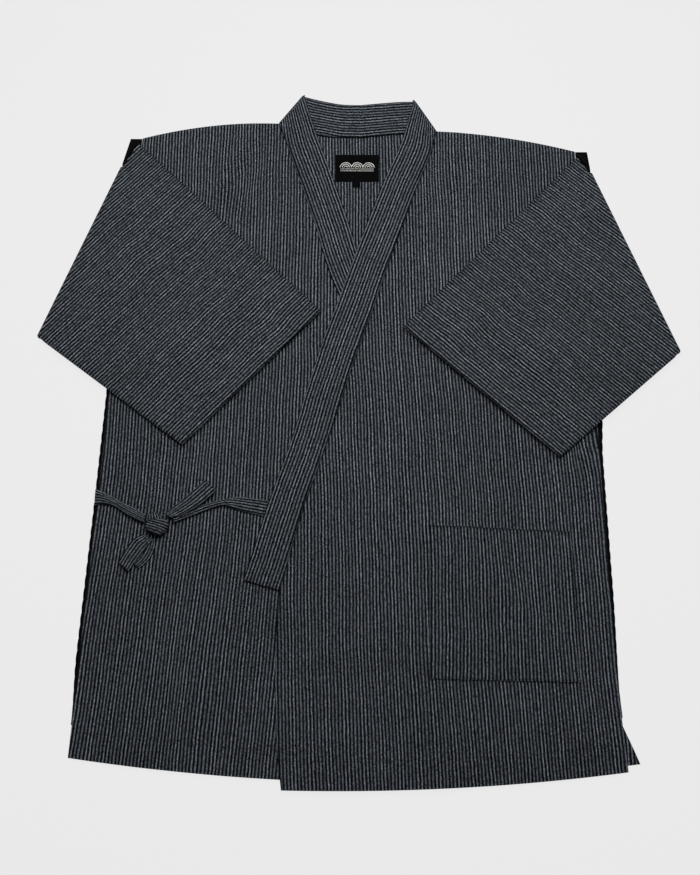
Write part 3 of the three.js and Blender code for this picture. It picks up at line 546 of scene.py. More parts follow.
def back_panel():
    """The back: hem, both sides down to the slits' flared corners, shoulders and neckline."""
    sides = {}
    for side, sign in SIDES.items():
        points = [*SIDE_EDGE[side][:-1], BACK_CORNER[side]]
        sides[side] = by_height(points, PANEL_ROWS) - (sign * SEAM_GAP, 0)
    neck = []
    for side in ("right", "left"):
        fold = NECK_FOLD[side]["seam"]
        row = [(fold[0] - 2 * SIDES[side], fold[1] + 1.2), *BACK_SEAM[side]]
        neck += row if side == "right" else row[::-1]
    neck = np.array(neck) - (0, SEAM_GAP)
    top = np.vstack([bowed(sides["right"][-1], neck[0], SHOULDER_BOW["right"], 60), neck[1:-1],
                     bowed(neck[-1], sides["left"][-1], SHOULDER_BOW["left"], 60)])
    x = np.linspace(top[0, 0], top[-1, 0], PANEL_COLUMNS)
    top = np.stack([x, np.interp(x, top[:, 0], top[:, 1])], 1)
    hem = bowed(sides["right"][0], sides["left"][0], -20, PANEL_COLUMNS)
    plane = patch(hem, top, sides["right"], sides["left"])
    x, y = plane[..., 0], plane[..., 1]
    z = CLOTH / 2 + 0.8 * soft_folds([(-205, -392, 96, 30, 26, 1.4), (-70, -404, 92, 26, 18, 1.2),
                                      (272, -372, 96, 24, 20, 1.6)], x, y)
    flat = body_flat(x + 2.4, y, [(-410, 0), (360, 0)], [])
    return cloth_wall("back_cloth", np.stack([x, y, z], -1), flat, 1.0, COTTON)


back_cloth = back_panel()
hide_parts("back")
front_cloth = {side: front_panel(side) for side in SIDES}
for side, piece in front_cloth.items():
    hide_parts(f"front_{side}")

# %% [markdown]
# ## The collar
#
# The band is folded and stitched, so it is thick in the middle and rounds off at the free edge.
# At the neck fold the wall makes a tight half turn, drops, and runs on behind the neck with the
# stripes now lying across the picture. Its back stretch leans up, with the free edge higher.

# %% Collar bands
BACK_MID = {"seam": 1.75, "free": 6.2}
NECK_OVERLAP = 1.2
NECK_RADIUS = 1.6
NECK_CLIMB = 60
COLLAR_COLUMNS = 19


def collar_band(side):
    """Lines across the band, from the lower end over the neck fold to the centre back."""
    sign = SIDES[side]
    free, seam = COLLAR_LINES[side]
    edges = {}
    for name, line in (("free", free), ("seam", seam)):
        resting = (outer_low(*line.T) if side == "left" else FRONT_LOW) + COLLAR_THICK / 2
        fold_y = NECK_FOLD[side][name][1]
        climb = smooth(fold_y - NECK_CLIMB, fold_y, line[:, 1])
        z = mix(resting, BACK_MID[name] + 2 * NECK_RADIUS, climb)
        edges[name] = np.column_stack([line, z])[:-1]
    fold_free, fold_seam = (np.array(NECK_FOLD[side][name], float) for name in ("free", "seam"))
    out = np.array([sign * (fold_free - fold_seam)[1], abs((fold_free - fold_seam)[0])])
    out /= np.linalg.norm(out)
    angle = np.linspace(0, np.pi, 9)
    for name, point in (("free", fold_free), ("seam", fold_seam)):
        reach = NECK_RADIUS * np.sin(angle) - NECK_RADIUS - COLLAR_THICK / 2
        turn = np.column_stack([point + out * reach[:, None],
                                BACK_MID[name] + NECK_RADIUS * (1 + np.cos(angle))])
        behind = np.array((BACK_FREE if name == "free" else BACK_SEAM)[side], float)
        behind -= (0, NECK_OVERLAP if name == "seam" else 0)
        run = curve_through(np.vstack([turn[-1, :2], behind]), 40)[1:]
        run = np.column_stack([run, np.full(len(run), BACK_MID[name])])
        edges[name] = np.vstack([edges[name], turn, run])
    t = np.linspace(0, 1, COLLAR_COLUMNS)[None, :, None]
    grid = mix(edges["seam"][:, None], edges["free"][:, None], t)
    grid[..., 2] += 0.35 * np.sin(np.pi * t[..., 0]) ** 0.5
    width = np.linalg.norm(edges["seam"] - edges["free"], axis=1)
    middle = grid[:, COLLAR_COLUMNS // 2]
    run = np.r_[0, np.cumsum(np.linalg.norm(np.diff(middle, axis=0), axis=1))]
    across = (1 - t[..., 0]) * width[:, None] + 0.2
    flat = np.stack([across, np.broadcast_to(run[:, None], across.shape)], -1)
    from_free = (1 - t[..., 0]) * 39
    thick = 2.2 * np.sqrt(np.clip(from_free / 2.4, 0.16, 1)) * np.ones((len(grid), 1))
    return cloth_wall(f"collar_{side}_band", grid, flat, thick, COTTON)


collar_bands = {side: collar_band(side) for side in SIDES}
for side, piece in collar_bands.items():
    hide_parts(f"collar_{side}")

# %% [markdown]
# ## The sleeves
#
# A sleeve is a flat tube. Its under part lies on the surface from the armhole to a long crease,
# and there the tube turns over and lies back on the chest as far as the cuff. Rings around the
# tube are carried along that path. The stripes run parallel to the cuff, so a point's place in
# the flat cloth is its distance from the cuff, measured after the turned part is folded out.

# %% Sleeves
SLEEVE = {
    "left": {"crown": (278.1, 298.3), "elbow": (362.9, 65.2), "top": (261.2, 317.7),
             "cuff_top": (50.4, 94.8), "cuff_under": (218.7, -60.6),
             "armhole_under": (283.5, 63), "cuff_rise": 2.2, "phase": 2.0},
    "right": {"crown": (-282.6, 306.5), "elbow": (-363.6, 84.1), "top": (-262.6, 337.8),
              "cuff_top": (-42.5, 115.2), "cuff_under": (-192.8, -46.4),
              "armhole_under": (-296, 76), "cuff_rise": 0.8, "phase": 2.0},
}
TUBE_HALF = 1.0
CREASE_RADIUS = 2.4
SLEEVE_HALF = TUBE_HALF + CLOTH / 2
CREASE_INSET = CREASE_RADIUS + SLEEVE_HALF
TURNED_ROWS = 110
RING_POINTS = 90
# (share of the way to the cuff, share of the way down, half length, half width, height)
SLEEVE_FOLDS = [(0.3, 0.35, 0.3, 0.5, 1.6), (0.62, 0.6, 0.25, 0.45, 2.0),
                (0.85, 0.2, 0.2, 0.4, 1.2), (0.45, 0.2, 0.06, 0.5, 0.7),
                (0.52, 0.75, 0.05, 0.4, -0.6), (0.15, 0.5, 0.05, 0.6, 0.7),
                (0.74, 0.45, 0.05, 0.5, 0.8), (0.93, 0.5, 0.04, 0.6, 0.5),
                (0.25, 0.6, 0.04, 0.3, -0.6), (0.66, 0.25, 0.035, 0.3, -0.5)]
# x, y, direction, half length, half width, and mm that the stripes are dragged aside
SLEEVE_PULLS = {"left": [(262, 205, 50, 70, 26, 1.9), (205, 232, 44, 60, 20, -1.6),
                         (188, 120, 48, 80, 24, 1.7), (120, 92, 40, 60, 24, -1.8)],
                "right": [(-262, 190, 130, 70, 24, -1.8), (-190, 196, 128, 60, 22, 1.8),
                          (-160, 110, 134, 80, 26, -1.7), (-96, 96, 140, 50, 22, 1.5)]}


def sleeve_folds(along, across):
    """Sum of height * (1 - a^2)^2 * (1 - b^2)^2 over the sleeve's folds."""
    total = 0
    for a0, b0, length, width, height in SLEEVE_FOLDS:
        a, b = (along - a0) / length, (across - b0) / width
        total = total + height * np.maximum(0, 1 - a * a) ** 2 * np.maximum(0, 1 - b * b) ** 2
    return total


def sleeve_tube(side):
    """Rings from armhole to cuff: the under part, a half turn at the crease, the turned part."""
    s = {key: np.array(value, float) for key, value in SLEEVE[side].items()}
    crown, elbow = s["crown"], s["elbow"]
    down = (elbow - crown) / np.linalg.norm(elbow - crown)
    out = np.array([-down[1], down[0]]) * SIDES[side]
    armhole_top = crown - out * (CREASE_INSET + 1)
    t = np.linspace(0, 1, 16)[:-1, None]
    top = [mix(armhole_top, crown - out * CREASE_INSET, t)]
    under = [mix(s["armhole_under"], elbow - out * CREASE_INSET, t)]
    turn = [np.zeros(15)]
    z = [np.full(15, SLEEVE_HALF)]
    angle = np.linspace(0, np.pi, 9)
    shift = (CREASE_RADIUS * np.sin(angle) - CREASE_INSET)[:, None]
    top.append(crown + out * shift)
    under.append(elbow + out * shift)
    turn.append(angle)
    z.append(SLEEVE_HALF + CREASE_RADIUS * (1 - np.cos(angle)))
    t = np.linspace(0, 1, TURNED_ROWS)[:, None]
    top.append(mix(s["top"], s["cuff_top"], t))
    under.append(mix(mix(elbow, s["cuff_under"], 0.06), s["cuff_under"], t))
    turn.append(np.full(TURNED_ROWS, np.pi))
    z.append(SLEEVE_HALF + 2 * CREASE_RADIUS + float(s["cuff_rise"]) * t[:, 0])
    top, under = np.vstack(top), np.vstack(under)
    turn, z = np.concatenate(turn), np.concatenate(z)
    share = np.r_[np.full(len(z) - TURNED_ROWS, -9.0), t[:, 0]]
    length = np.linalg.norm(under - top, axis=1)
    edge = (CLOTH / 2) / length
    half = (RING_POINTS - 2) // 2
    go = np.linspace(0, 1, half)[None, :]
    near = (SLEEVE_HALF / length)[:, None]
    there = mix(near, 1 - near, go)
    fraction = np.hstack([edge[:, None], there, 1 - edge[:, None], there[:, ::-1]])
    level = np.r_[0, np.full(half, -1.0), 0, np.full(half, 1.0)][None, :]
    plane = mix(top[:, None], under[:, None], fraction[..., None])
    height = z[:, None] + sleeve_folds(share[:, None], fraction)
    normal = np.column_stack([-out[0] * np.sin(turn), -out[1] * np.sin(turn), np.cos(turn)])
    grid = np.dstack([plane, height]) + normal[:, None] * (level * TUBE_HALF)[..., None]
    folded_out = plane.copy()
    under_part = (turn < np.pi / 2)[:, None, None]
    away = ((plane - crown) @ out)[..., None] * out
    folded_out = np.where(under_part, plane - 2 * away, plane)
    to_cuff = s["cuff_top"] - s["cuff_under"]
    to_cuff /= np.linalg.norm(to_cuff)
    square = np.array([-to_cuff[1], to_cuff[0]])
    square *= np.sign((crown - s["cuff_top"]) @ square)
    across = (folded_out - s["cuff_top"]) @ square + float(s["phase"])
    across = across + soft_folds(SLEEVE_PULLS[side], plane[..., 0], plane[..., 1])
    along = (folded_out - s["cuff_top"]) @ to_cuff
    flat = np.stack([across, along], -1)
    flat = np.concatenate([flat, flat[:, :1]], axis=1)
    return cloth_wall(f"sleeve_{side}_cloth", grid, flat, 1.0, COTTON, loop=True)


sleeve_cloth = {side: sleeve_tube(side) for side in SIDES}
for side, piece in sleeve_cloth.items():
    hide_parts(f"sleeve_{side}")

# %% [markdown]
# ## The patch pocket
#
# The pocket is a rectangle of the same cloth on the left front, hemmed at its open top. Its
# sides are turned under and stitched, so its edges dip to the front and its middle stands a
# little proud. It was cut with the stripes nearly in line, so it hardly shows.

# %% Pocket
POCKET = {"low_inner": (71.8, -299.2), "low_outer": (225.3, -302.7),
          "top_inner": (74.8, -137.4), "top_outer": (226.3, -143.5)}
POCKET_LEANS = [(-305, 5.5), (-255, 2.5), (-200, 0.4), (-135, 0)]
POCKET_PHASE = -4.2


def pocket_patch():
    """A grid between four corners, laid on the front and moved out by one layer, with a swell."""
    corner = {name: np.array(point, float) for name, point in POCKET.items()}
    u = np.linspace(0, 1, 76)[None, :, None]
    v = np.linspace(0, 1, 82)[:, None, None]
    plane = mix(mix(corner["low_inner"], corner["low_outer"], u),
                mix(corner["top_inner"], corner["top_outer"], u), v)
    x, y = plane[..., 0], plane[..., 1]
    edge = np.minimum(np.minimum(u, 1 - u)[..., 0] * 150, v[..., 0] * 160)
    mouth = smooth(0.8, 1, v[..., 0]) * np.sin(np.pi * u[..., 0])
    swell = 0.9 * smooth(0, 40, edge) + mouth * (1.1 + 0.5 * np.sin(9 * u[..., 0]))
    swell = swell + soft_folds([(158, -205, 124, 48, 9, 1.1), (168, -216, 122, 44, 6, -0.7),
                                (120, -165, 100, 30, 8, 0.4)], x, y)
    hem = -0.3 * np.exp(-(((1 - v[..., 0]) * 162 - 26) / 1.4) ** 2)
    z = front_low("left", x, y) + CLOTH + SEAM_GAP + 0.55 + swell + hem
    flat = body_flat(x, y, FRONT_LEANS["left"], [(158, -208, 118, 60, 26, -1.7)])
    flat[..., 0] += np.interp(y, *np.array(POCKET_LEANS).T) * (1 - u[..., 0]) + POCKET_PHASE
    thick = 1.0 * np.sqrt(np.clip(edge / 2.0, 0.25, 1))
    return cloth_wall("pocket_cloth", np.stack([x, y, z], -1), flat, thick, COTTON)


pocket_cloth = pocket_patch()
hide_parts("pocket")

# %% [markdown]
# ## The ties
#
# A tie is a narrow strip folded and stitched, so it is a flat ribbon with soft edges. Each
# stretch that shows is carried along its measured cross lines: one edge, the other edge and a
# height above the inner front. The ribbon is full in the middle and thin at its edges.

# %% Tie ribbons
TIE_THICK = 1.6
TIE_LOW = FRONT_LOW + CLOTH + 0.6
TIES = {
    "tie_side": [(-284, -95.7, -284, -114.5, 0.2), (-275.3, -99.5, -275.8, -112.9, 0.6),
                 (-264.6, -105.2, -262.7, -115.6, 1.4), (-249.7, -113.6, -249.3, -124.4, 1.8),
                 (-237.9, -119.6, -237.4, -131, 2.4), (-228.6, -125.2, -228.4, -134.6, 3.0)],
    "tie_front": [(-95.4, -109.2, -99.6, -127, 0.1), (-122.1, -105.5, -126, -120.5, 0.5),
                  (-134.6, -106.1, -139.1, -116.2, 1.2), (-143.6, -108.2, -146.9, -114.6, 2.0),
                  (-159.3, -111.8, -161.1, -118.9, 1.2), (-174.8, -117.3, -177.1, -125.5, 0.6),
                  (-187.2, -123.3, -188.6, -130, 1.4), (-197.6, -128.3, -198.2, -134.4, 2.4)],
    "tie_bow": [(-207.4, -125.2, -199.6, -129.5, 4.8), (-199, -117.6, -187.6, -125.6, 4.4),
                (-182.5, -102.4, -169.6, -114.2, 4.0), (-166.6, -86.6, -153.5, -99, 3.2)],
    "tie_tail_over": [(-228.6, -147.2, -218.8, -152.6, 3.0), (-239.3, -152.4, -226.4, -163.8, 2.6),
                      (-248.2, -166, -235.6, -176.4, 2.4), (-253.7, -177.2, -242.3, -187.6, 2.3)],
    "tie_tail_under": [(-226.5, -153, -217.2, -151.4, 0.1), (-230.4, -160.4, -216.6, -161.4, 0.1),
                       (-236.6, -169.8, -221.7, -173.6, 0.1), (-240.6, -176.4, -232, -183.4, 0.1)],
}
RIBBON_WIDTH = 19.0
RIBBON_PHASE = {"tie_side": 1.0, "tie_front": 12.0, "tie_bow": 9.3, "tie_tail_over": 17.2,
                "tie_tail_under": 3.0}


def ribbon(name, table):
    """Cross lines smoothed along the ribbon, each with a crown of 0.5 mm and one shallow gather
    where the ribbon is squeezed narrower than it was sewn."""
    table = np.array(table, float)
    a = curve_through(table[:, [0, 1, 4]], 60)
    b = curve_through(table[:, [2, 3, 4]], 60)
    t = np.linspace(0, 1, 17)[None, :, None]
    grid = mix(a[:, None], b[:, None], t)
    width = np.linalg.norm((a - b)[:, :2], axis=1)[:, None]
    squeezed = np.clip(1 - width / RIBBON_WIDTH, 0, 1)
    crown = 0.4 * np.sin(np.pi * t[..., 0]) + squeezed * 0.7 * np.cos(4 * np.pi * t[..., 0])
    grid[..., 2] += TIE_LOW + TIE_THICK / 2 + crown * smooth(0, 0.25, np.minimum(t, 1 - t)[..., 0])
    run = np.r_[0, np.cumsum(np.linalg.norm(np.diff(grid[:, 8], axis=0), axis=1))]
    across = t[..., 0] * (RIBBON_WIDTH - 3 * squeezed) + RIBBON_PHASE[name]
    flat = np.stack([across, np.broadcast_to(run[:, None], across.shape)], -1)
    from_edge = np.minimum(t, 1 - t)[..., 0] * width
    thick = 1.5 * np.sqrt(np.clip(from_edge / 1.8, 0.2, 1))
    return cloth_wall(f"{name}_ribbon", grid, flat, thick, COTTON)


ribbons = {name: ribbon(name, table) for name, table in TIES.items()}
for name, piece in ribbons.items():
    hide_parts(name)

# %% [markdown]
# ## The knot
#
# The two ties are knotted once, and the knot shows as two wraps: a wide one over the tails and
# a narrow one behind it. Each is a short tube of ribbon pulled tight round what it holds, with
# its stripes running round. The tube's rim is drawn in, as cloth under tension is.

# %% Knot wraps
KNOT_WRAPS = {
    # centre x, y, axis direction, half width along the axis, reach across, half height, phase
    "knot_wrap_main": (-215.4, -138.6, 62, 8.6, 11.2, 4.4, 3.6),
    "knot_wrap_behind": (-218.2, -129.6, 4, 7.8, 5.4, 3.6, 0.5),
}


def knot_wrap(name, x, y, turn, half_width, reach, half_height, phase):
    """Rings round an axis: an oval of reach by half_height, drawn in at both rims and ribbed by
    the stripes' own folds."""
    s = np.linspace(-1, 1, 31)[:, None]
    angle = np.linspace(0, 2 * np.pi, 49)[None, :-1]
    draw_in = (1 - 0.55 * np.abs(s) ** 3.2) * (1 + 0.035 * np.cos(5.5 * np.pi * s))
    across = reach * draw_in * np.cos(angle)
    skew = -0.17 * across
    lift = half_height * (0.92 + draw_in * np.sin(angle))
    along = half_width * s * (1 - 0.12 * np.cos(angle)) + skew
    c, n = np.cos(np.radians(turn)), np.sin(np.radians(turn))
    grid = np.stack([x + along * c - across * n, y + along * n + across * c,
                     TIE_LOW + 0.55 + lift], -1)
    round_mm = (reach + half_height) * np.linspace(0, np.pi, 49)[None, :] + 0 * s
    flat = np.stack([half_width * 1.25 * s + phase + 0 * round_mm, round_mm], -1)
    return cloth_wall(name, grid, flat, 1.0, COTTON, loop=True)


wraps = [knot_wrap(name, *values) for name, values in KNOT_WRAPS.items()]
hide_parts("tie_knot")

# %% [markdown]
# ## Openwork tape
#
# Black cotton tape with square holes lets air in at the armholes and down the sides. Its holes
# are about 1.3 mm in cords about 0.7 mm wide. It is made as a fine grid with every hole's faces
# left out, and a Solidify modifier gives the cords their thickness. The side tape's outer edge
# is scalloped.

# %% Material and mesh of the tape
tape_material, tree = new_material("black_cotton_openwork_tape")
place = node(tree, "ShaderNodeUVMap", uv_map="cloth_mm")
twist = node(tree, "ShaderNodeTexNoise", {"Vector": place.outputs[0], "Scale": 1.6, "Detail": 2.0})
tape_bump = node(tree, "ShaderNodeBump", {"Height": twist.outputs[0], "Strength": 0.6,
                                          "Distance": 0.0004})
tape_tone = node(tree, "ShaderNodeValToRGB", {0: twist.outputs[0]})
tape_tone.color_ramp.elements[0].color = linear("#060607")
tape_tone.color_ramp.elements[1].color = linear("#17181b")
tape_shader = node(tree, "ShaderNodeBsdfPrincipled",
                   {"Base Color": tape_tone.outputs[0], "Roughness": 0.85,
                    "Specular IOR Level": 0.12, "Normal": tape_bump.outputs[0]})
node(tree, "ShaderNodeOutputMaterial", {0: tape_shader.outputs[0]})


def openwork(name, grid, margin=2, plain_rows=0, plain_columns=0):
    """A net from a grid of points about 0.65 mm apart: of every three faces each way the last
    two are a hole. margin faces at each long edge stay whole, and so do the first plain rows
    and columns, the layer whose holes are covered by the one that lies on it."""
    rows, columns, _ = grid.shape
    i, j = np.meshgrid(np.arange(rows - 1), np.arange(columns - 1), indexing="ij")
    hole = (i % 3 > 0) & ((j - margin) % 3 < 2) & (j >= margin) & (j < columns - 1 - margin)
    hole &= (i >= plain_rows) & (j >= plain_columns)
    i, j = i[~hole], j[~hole]
    first = i * columns + j
    faces = np.stack([first, first + 1, first + columns + 1, first + columns], 1)
    used, faces = np.unique(faces, return_inverse=True)
    faces = faces.reshape(-1, 4)
    points = grid.reshape(-1, 3)[used]
    piece = make_mesh(name, points, faces, points[faces.ravel()][:, :2], tape_material)
    wall = piece.modifiers.new("cord", "SOLIDIFY")
    wall.thickness = 0.0005
    wall.offset = 0
    diagonals = np.cross(grid[1:, 1:] - grid[:-1, :-1], grid[1:, :-1] - grid[:-1, 1:])
    areas = np.linalg.norm(diagonals, axis=2) / 200
    along = np.linalg.norm(np.diff(grid, axis=0), axis=2).sum(0).mean()
    across = np.linalg.norm(np.diff(grid, axis=1), axis=2).sum(1).max()
    print(f"{name}: {along:.0f} mm long, at most {across:.1f} mm wide, {areas.sum():.2f} cm2 in its "
          f"outline, {areas[~hole].sum():.2f} cm2 without its holes")
    return piece


SLIT_TOP = {"left": -338, "right": -345}
UNDERARM = {"left": 63, "right": 76}
SHOULDER_LACE = {"left": (275.6, 326.7), "right": (-274.3, 346.3)}
LACE_SHOWS = 3.4
SCALLOP = 13.5
TAPER = {"left": 150, "right": 70}


def side_tape(side):
    """Folded lengthwise between the back's edge and the front's: a flat section that turns up
    at its outer edge, which swings out by up to 0.6 mm in scallops. Above the slit the fold
    slips back between the layers, so less and less of it shows."""
    sign = SIDES[side]
    y = np.arange(SLIT_TOP[side], UNDERARM[side] - 2, 0.66)
    edge = np.array(SIDE_EDGE[side][::-1], float)
    x = np.interp(y, edge[:, 1], edge[:, 0])
    low, high = CLOTH / 2, FRONT_LOW + CLOTH / 2
    reach = LACE_SHOWS - 0.6 + 0.6 * np.abs(np.sin(np.pi * y / SCALLOP))
    if side == "left":
        reach = reach + 2.6 * smooth(-60, -10, y) * (1 - smooth(40, 62, y))
    reach = reach * mix(0.15, 1, smooth(0, TAPER[side], y - SLIT_TOP[side]))
    section = np.array([(-0.1, 0), (0.3, 0), (0.62, 0), (0.84, 0.06), (0.97, 0.28), (1, 0.5),
                        (0.97, 0.72), (0.84, 0.94), (0.62, 1), (0.3, 1), (-0.1, 1)])
    grid = np.stack([x[:, None] + sign * section[None, :, 0] * reach[:, None],
                     np.broadcast_to(y[:, None], (len(y), len(section))),
                     np.broadcast_to(mix(low, high, section[:, 1]), (len(y), len(section)))], -1)
    return openwork(f"side_tape_{side}", grid, margin=1, plain_columns=6)


def armhole_tape(side):
    """Up on the back's layer, over the shoulder in a half turn, down on the front's layer."""
    sign = SIDES[side]
    s = {key: np.array(value, float) for key, value in SLEEVE[side].items()}
    down = (s["elbow"] - s["crown"]) / np.linalg.norm(s["elbow"] - s["crown"])
    out = np.array([-down[1], down[0]]) * sign
    armhole_top = s["crown"] - out * (CREASE_INSET + 1)
    outer = np.array([s["armhole_under"], armhole_top, s["crown"] + (0, 2.5), SHOULDER_LACE[side]])
    inner = np.array(SIDE_EDGE[side][::-1], float)
    low, high = CLOTH / 2, FRONT_LOW + CLOTH / 2
    turn = (high - low) / 2
    top = SIDE_EDGE[side][0][1] - turn - 0.4
    rise = np.arange(UNDERARM[side], top, 0.66)
    angle = np.radians([22, 45, 68, 90, 112, 135, 158])
    y = np.r_[rise, top + turn * np.sin(angle), rise[::-1]]
    z = np.r_[np.full(len(rise), low), low + turn * (1 - np.cos(angle)), np.full(len(rise), high)]
    x_in = np.interp(y, inner[:, 1], inner[:, 0]) + sign * SEAM_GAP
    x_out = np.interp(y, outer[:, 1], outer[:, 0]) - sign * (SEAM_GAP + 0.6)
    t = np.linspace(0, 1, 23)[None, :]
    x = mix(x_in[:, None], x_out[:, None], t)
    grid = np.stack([x, np.broadcast_to(y[:, None], x.shape),
                     np.broadcast_to(z[:, None], x.shape)], -1)
    return openwork(f"armhole_tape_{side}", grid, plain_rows=len(rise) + len(angle))


def turned_tape(side):
    """The tape's corner that turned over with the sleeve, a small sloping patch."""
    sign = SIDES[side]
    end, shoulder = SHOULDER_LACE[side], SIDE_EDGE[side][0]
    crown, top = SLEEVE[side]["crown"], SLEEVE[side]["top"]
    layer = FRONT_LOW + CLOTH + SEAM_GAP + 0.4
    outer = np.array([(end[0] - sign * 1.2, end[1] - 1, layer),
                      (crown[0] - sign * 1.6, crown[1] + 3.4, layer + 0.6)])
    inner = np.array([(shoulder[0] + sign * 1.5, end[1] - 3.5, layer + 0.4),
                      (top[0] + sign * 2.2, top[1] + 2.6, layer + 2.4)])
    u, v = np.linspace(0, 1, 32)[None, :, None], np.linspace(0, 1, 52)[:, None, None]
    grid = mix(mix(outer[0], outer[1], v), mix(inner[0], inner[1], v), u)
    return openwork(f"turned_tape_{side}", grid)


for side in SIDES:
    for kind, make in (("side", side_tape), ("armhole", armhole_tape), ("turn", turned_tape)):
        make(side)
        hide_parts(f"lace_{kind}_{side}")

# %% [markdown]
# ## Neck label and size tab
#
# The label is a damask-woven black ribbon, folded in at both ends and sewn on. It carries three
# fans of seigaiha, the traditional wave arcs, in off-white thread, with two plain woven lines
# under them. The little tab under the label is bare.

# %% Label, tab and wave arcs
label_material, tree = new_material("black_woven_label_satin")
place = node(tree, "ShaderNodeUVMap", uv_map="cloth_mm")
weft = node(tree, "ShaderNodeTexWave", {"Vector": place.outputs[0], "Scale": 0.55,
                                        "Distortion": 0.6, "Detail": 1.0},
            wave_type="BANDS", bands_direction="Y")
label_bump = node(tree, "ShaderNodeBump", {"Height": weft.outputs[1], "Strength": 0.4,
                                           "Distance": 0.0003})
label_shader = node(tree, "ShaderNodeBsdfPrincipled",
                    {"Base Color": linear("#08080a"), "Roughness": 0.7,
                     "Specular IOR Level": 0.05, "Normal": label_bump.outputs[0]})
node(tree, "ShaderNodeOutputMaterial", {0: label_shader.outputs[0]})
thread_material, tree = new_material("off_white_rayon_thread")
place = node(tree, "ShaderNodeUVMap", uv_map="cloth_mm")
ply = node(tree, "ShaderNodeTexNoise", {"Vector": place.outputs[0], "Scale": 3.0, "Detail": 1.0})
thread_bump = node(tree, "ShaderNodeBump", {"Height": ply.outputs[0], "Strength": 0.5,
                                            "Distance": 0.0002})
thread_shader = node(tree, "ShaderNodeBsdfPrincipled",
                     {"Base Color": linear("#f2f2ec"), "Roughness": 0.55,
                      "Normal": thread_bump.outputs[0]})
node(tree, "ShaderNodeOutputMaterial", {0: thread_shader.outputs[0]})
LABEL_LOW = CLOTH + 0.3
SIZE_TAB = {"x": -2.0, "y": 283.4, "width": 9.5, "height": 7.0}


def label_height(x, y):
    """Height of the label's middle: it follows two faint waves of the cloth under it."""
    return LABEL_LOW + 0.5 + 0.12 * np.sin(x / 7.0) * np.cos(y / 11.0)


def woven_patch(name, box):
    """A rectangle of woven ribbon whose rims are folded under, so they round off."""
    u = np.linspace(-0.5, 0.5, 53)[None, :] * np.ones((39, 1))
    v = np.linspace(-0.5, 0.5, 39)[:, None] * np.ones((1, 53))
    x, y = box["x"] + u * box["width"], box["y"] + v * box["height"]
    edge = np.minimum((0.5 - np.abs(u)) * box["width"], (0.5 - np.abs(v)) * box["height"])
    z = label_height(x, y) - 0.25 * (1 - smooth(0, 1.5, edge))
    thick = 0.7 * np.sqrt(np.clip(edge / 0.8, 0.3, 1))
    return cloth_wall(name, np.stack([x, y, z], -1), np.stack([x, y], -1), thick,
                      label_material)


def raised_threads(name, lines, width):
    """Flat threads along lines of the same number of points, lying on the label: each line is
    widened by half the width to both sides and lifted clear of the label."""
    lines = np.array(lines, float)
    ahead = np.gradient(lines, axis=1)
    ahead /= np.linalg.norm(ahead, axis=2, keepdims=True)
    side = np.stack([ahead[..., 1], -ahead[..., 0]], -1) * width / 2
    cross = np.stack([lines - side, lines, lines + side], 2)
    z = label_height(cross[..., 0], cross[..., 1]) + 0.42
    z[:, :, 1] += 0.14
    points = np.column_stack([cross.reshape(-1, 2), z.ravel()])
    count, steps = lines.shape[:2]
    n, k, m = np.meshgrid(np.arange(count), np.arange(steps - 1), np.arange(2), indexing="ij")
    first = (n * steps * 3 + k * 3 + m).ravel()
    faces = np.stack([first, first + 1, first + 4, first + 3], 1)
    piece = make_mesh(name, points, faces, points[faces.ravel()][:, :2], thread_material)
    wall = piece.modifiers.new("thread", "SOLIDIFY")
    wall.thickness = 0.00022
    wall.offset = 0
    return piece


label_cloth = woven_patch("label_ribbon", LABEL)
size_tab_cloth = woven_patch("size_tab_ribbon", SIZE_TAB)
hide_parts("label")
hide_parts("size_tab")
WAVE = 13.6
WAVE_FOOT = 0.6
angle = np.linspace(0, np.pi, 17)
waves = []
for centre in (-WAVE, 0, WAVE):
    for radius in (6.6, 4.2, 1.8):
        waves.append(np.stack([LABEL["x"] + centre + radius * np.cos(angle),
                               LABEL["y"] + WAVE_FOOT + radius * np.sin(angle)], -1))
wave_threads = raised_threads("label_wave_arcs", waves, 1.1)
border = [np.stack([np.linspace(-20, 20, 17) + LABEL["x"], np.full(17, LABEL["y"] + foot)], -1)
          for foot in (-1.4, -4.0)]
border_threads = raised_threads("label_border", border, 0.7)

# %% [markdown]
# ## Stitches
#
# Hems, cuffs, the pocket and the collar's seam are sewn with black thread. A lockstitch lies
# 2.4 mm long with a small dip between it and the next, so each one is a spindle-shaped bit of
# thread. They follow lines on the grids that the pieces were made from, so they lie on the cloth.

# %% Stitches
stitch_material, tree = new_material("black_polyester_thread")
stitch_shader = node(tree, "ShaderNodeBsdfPrincipled",
                     {"Base Color": linear("#08090c"), "Roughness": 0.6,
                      "Specular IOR Level": 0.2})
node(tree, "ShaderNodeOutputMaterial", {0: stitch_shader.outputs[0]})
STITCH = {"length": 2.4, "pitch": 3.0, "half_width": 0.26, "half_height": 0.16, "lift": 0.5}
COLLAR_LIFT = 0.95
FRONT_HEM_ROW = 0.0368
BACK_HEM_ROW = 0.036
CUFF_HEM = 24
POCKET_WIDE, POCKET_HIGH, POCKET_HEM, POCKET_INSET = 152, 162, 26, 1.6
BAR_ROWS = (0.972, 0.978, 0.984)


def on_grid(name, v, u):
    """Points of a piece's grid at shares v of its rows and u of its columns, between the four
    nearest grid points."""
    grid = GRIDS[name]
    v, u = np.broadcast_arrays(np.asarray(v, float), np.asarray(u, float))
    row, column = v * (grid.shape[0] - 1), u * (grid.shape[1] - 1)
    i = np.minimum(row.astype(int), grid.shape[0] - 2)
    j = np.minimum(column.astype(int), grid.shape[1] - 2)
    a, b = (row - i)[:, None], (column - j)[:, None]
    return mix(mix(grid[i, j], grid[i, j + 1], b), mix(grid[i + 1, j], grid[i + 1, j + 1], b), a)


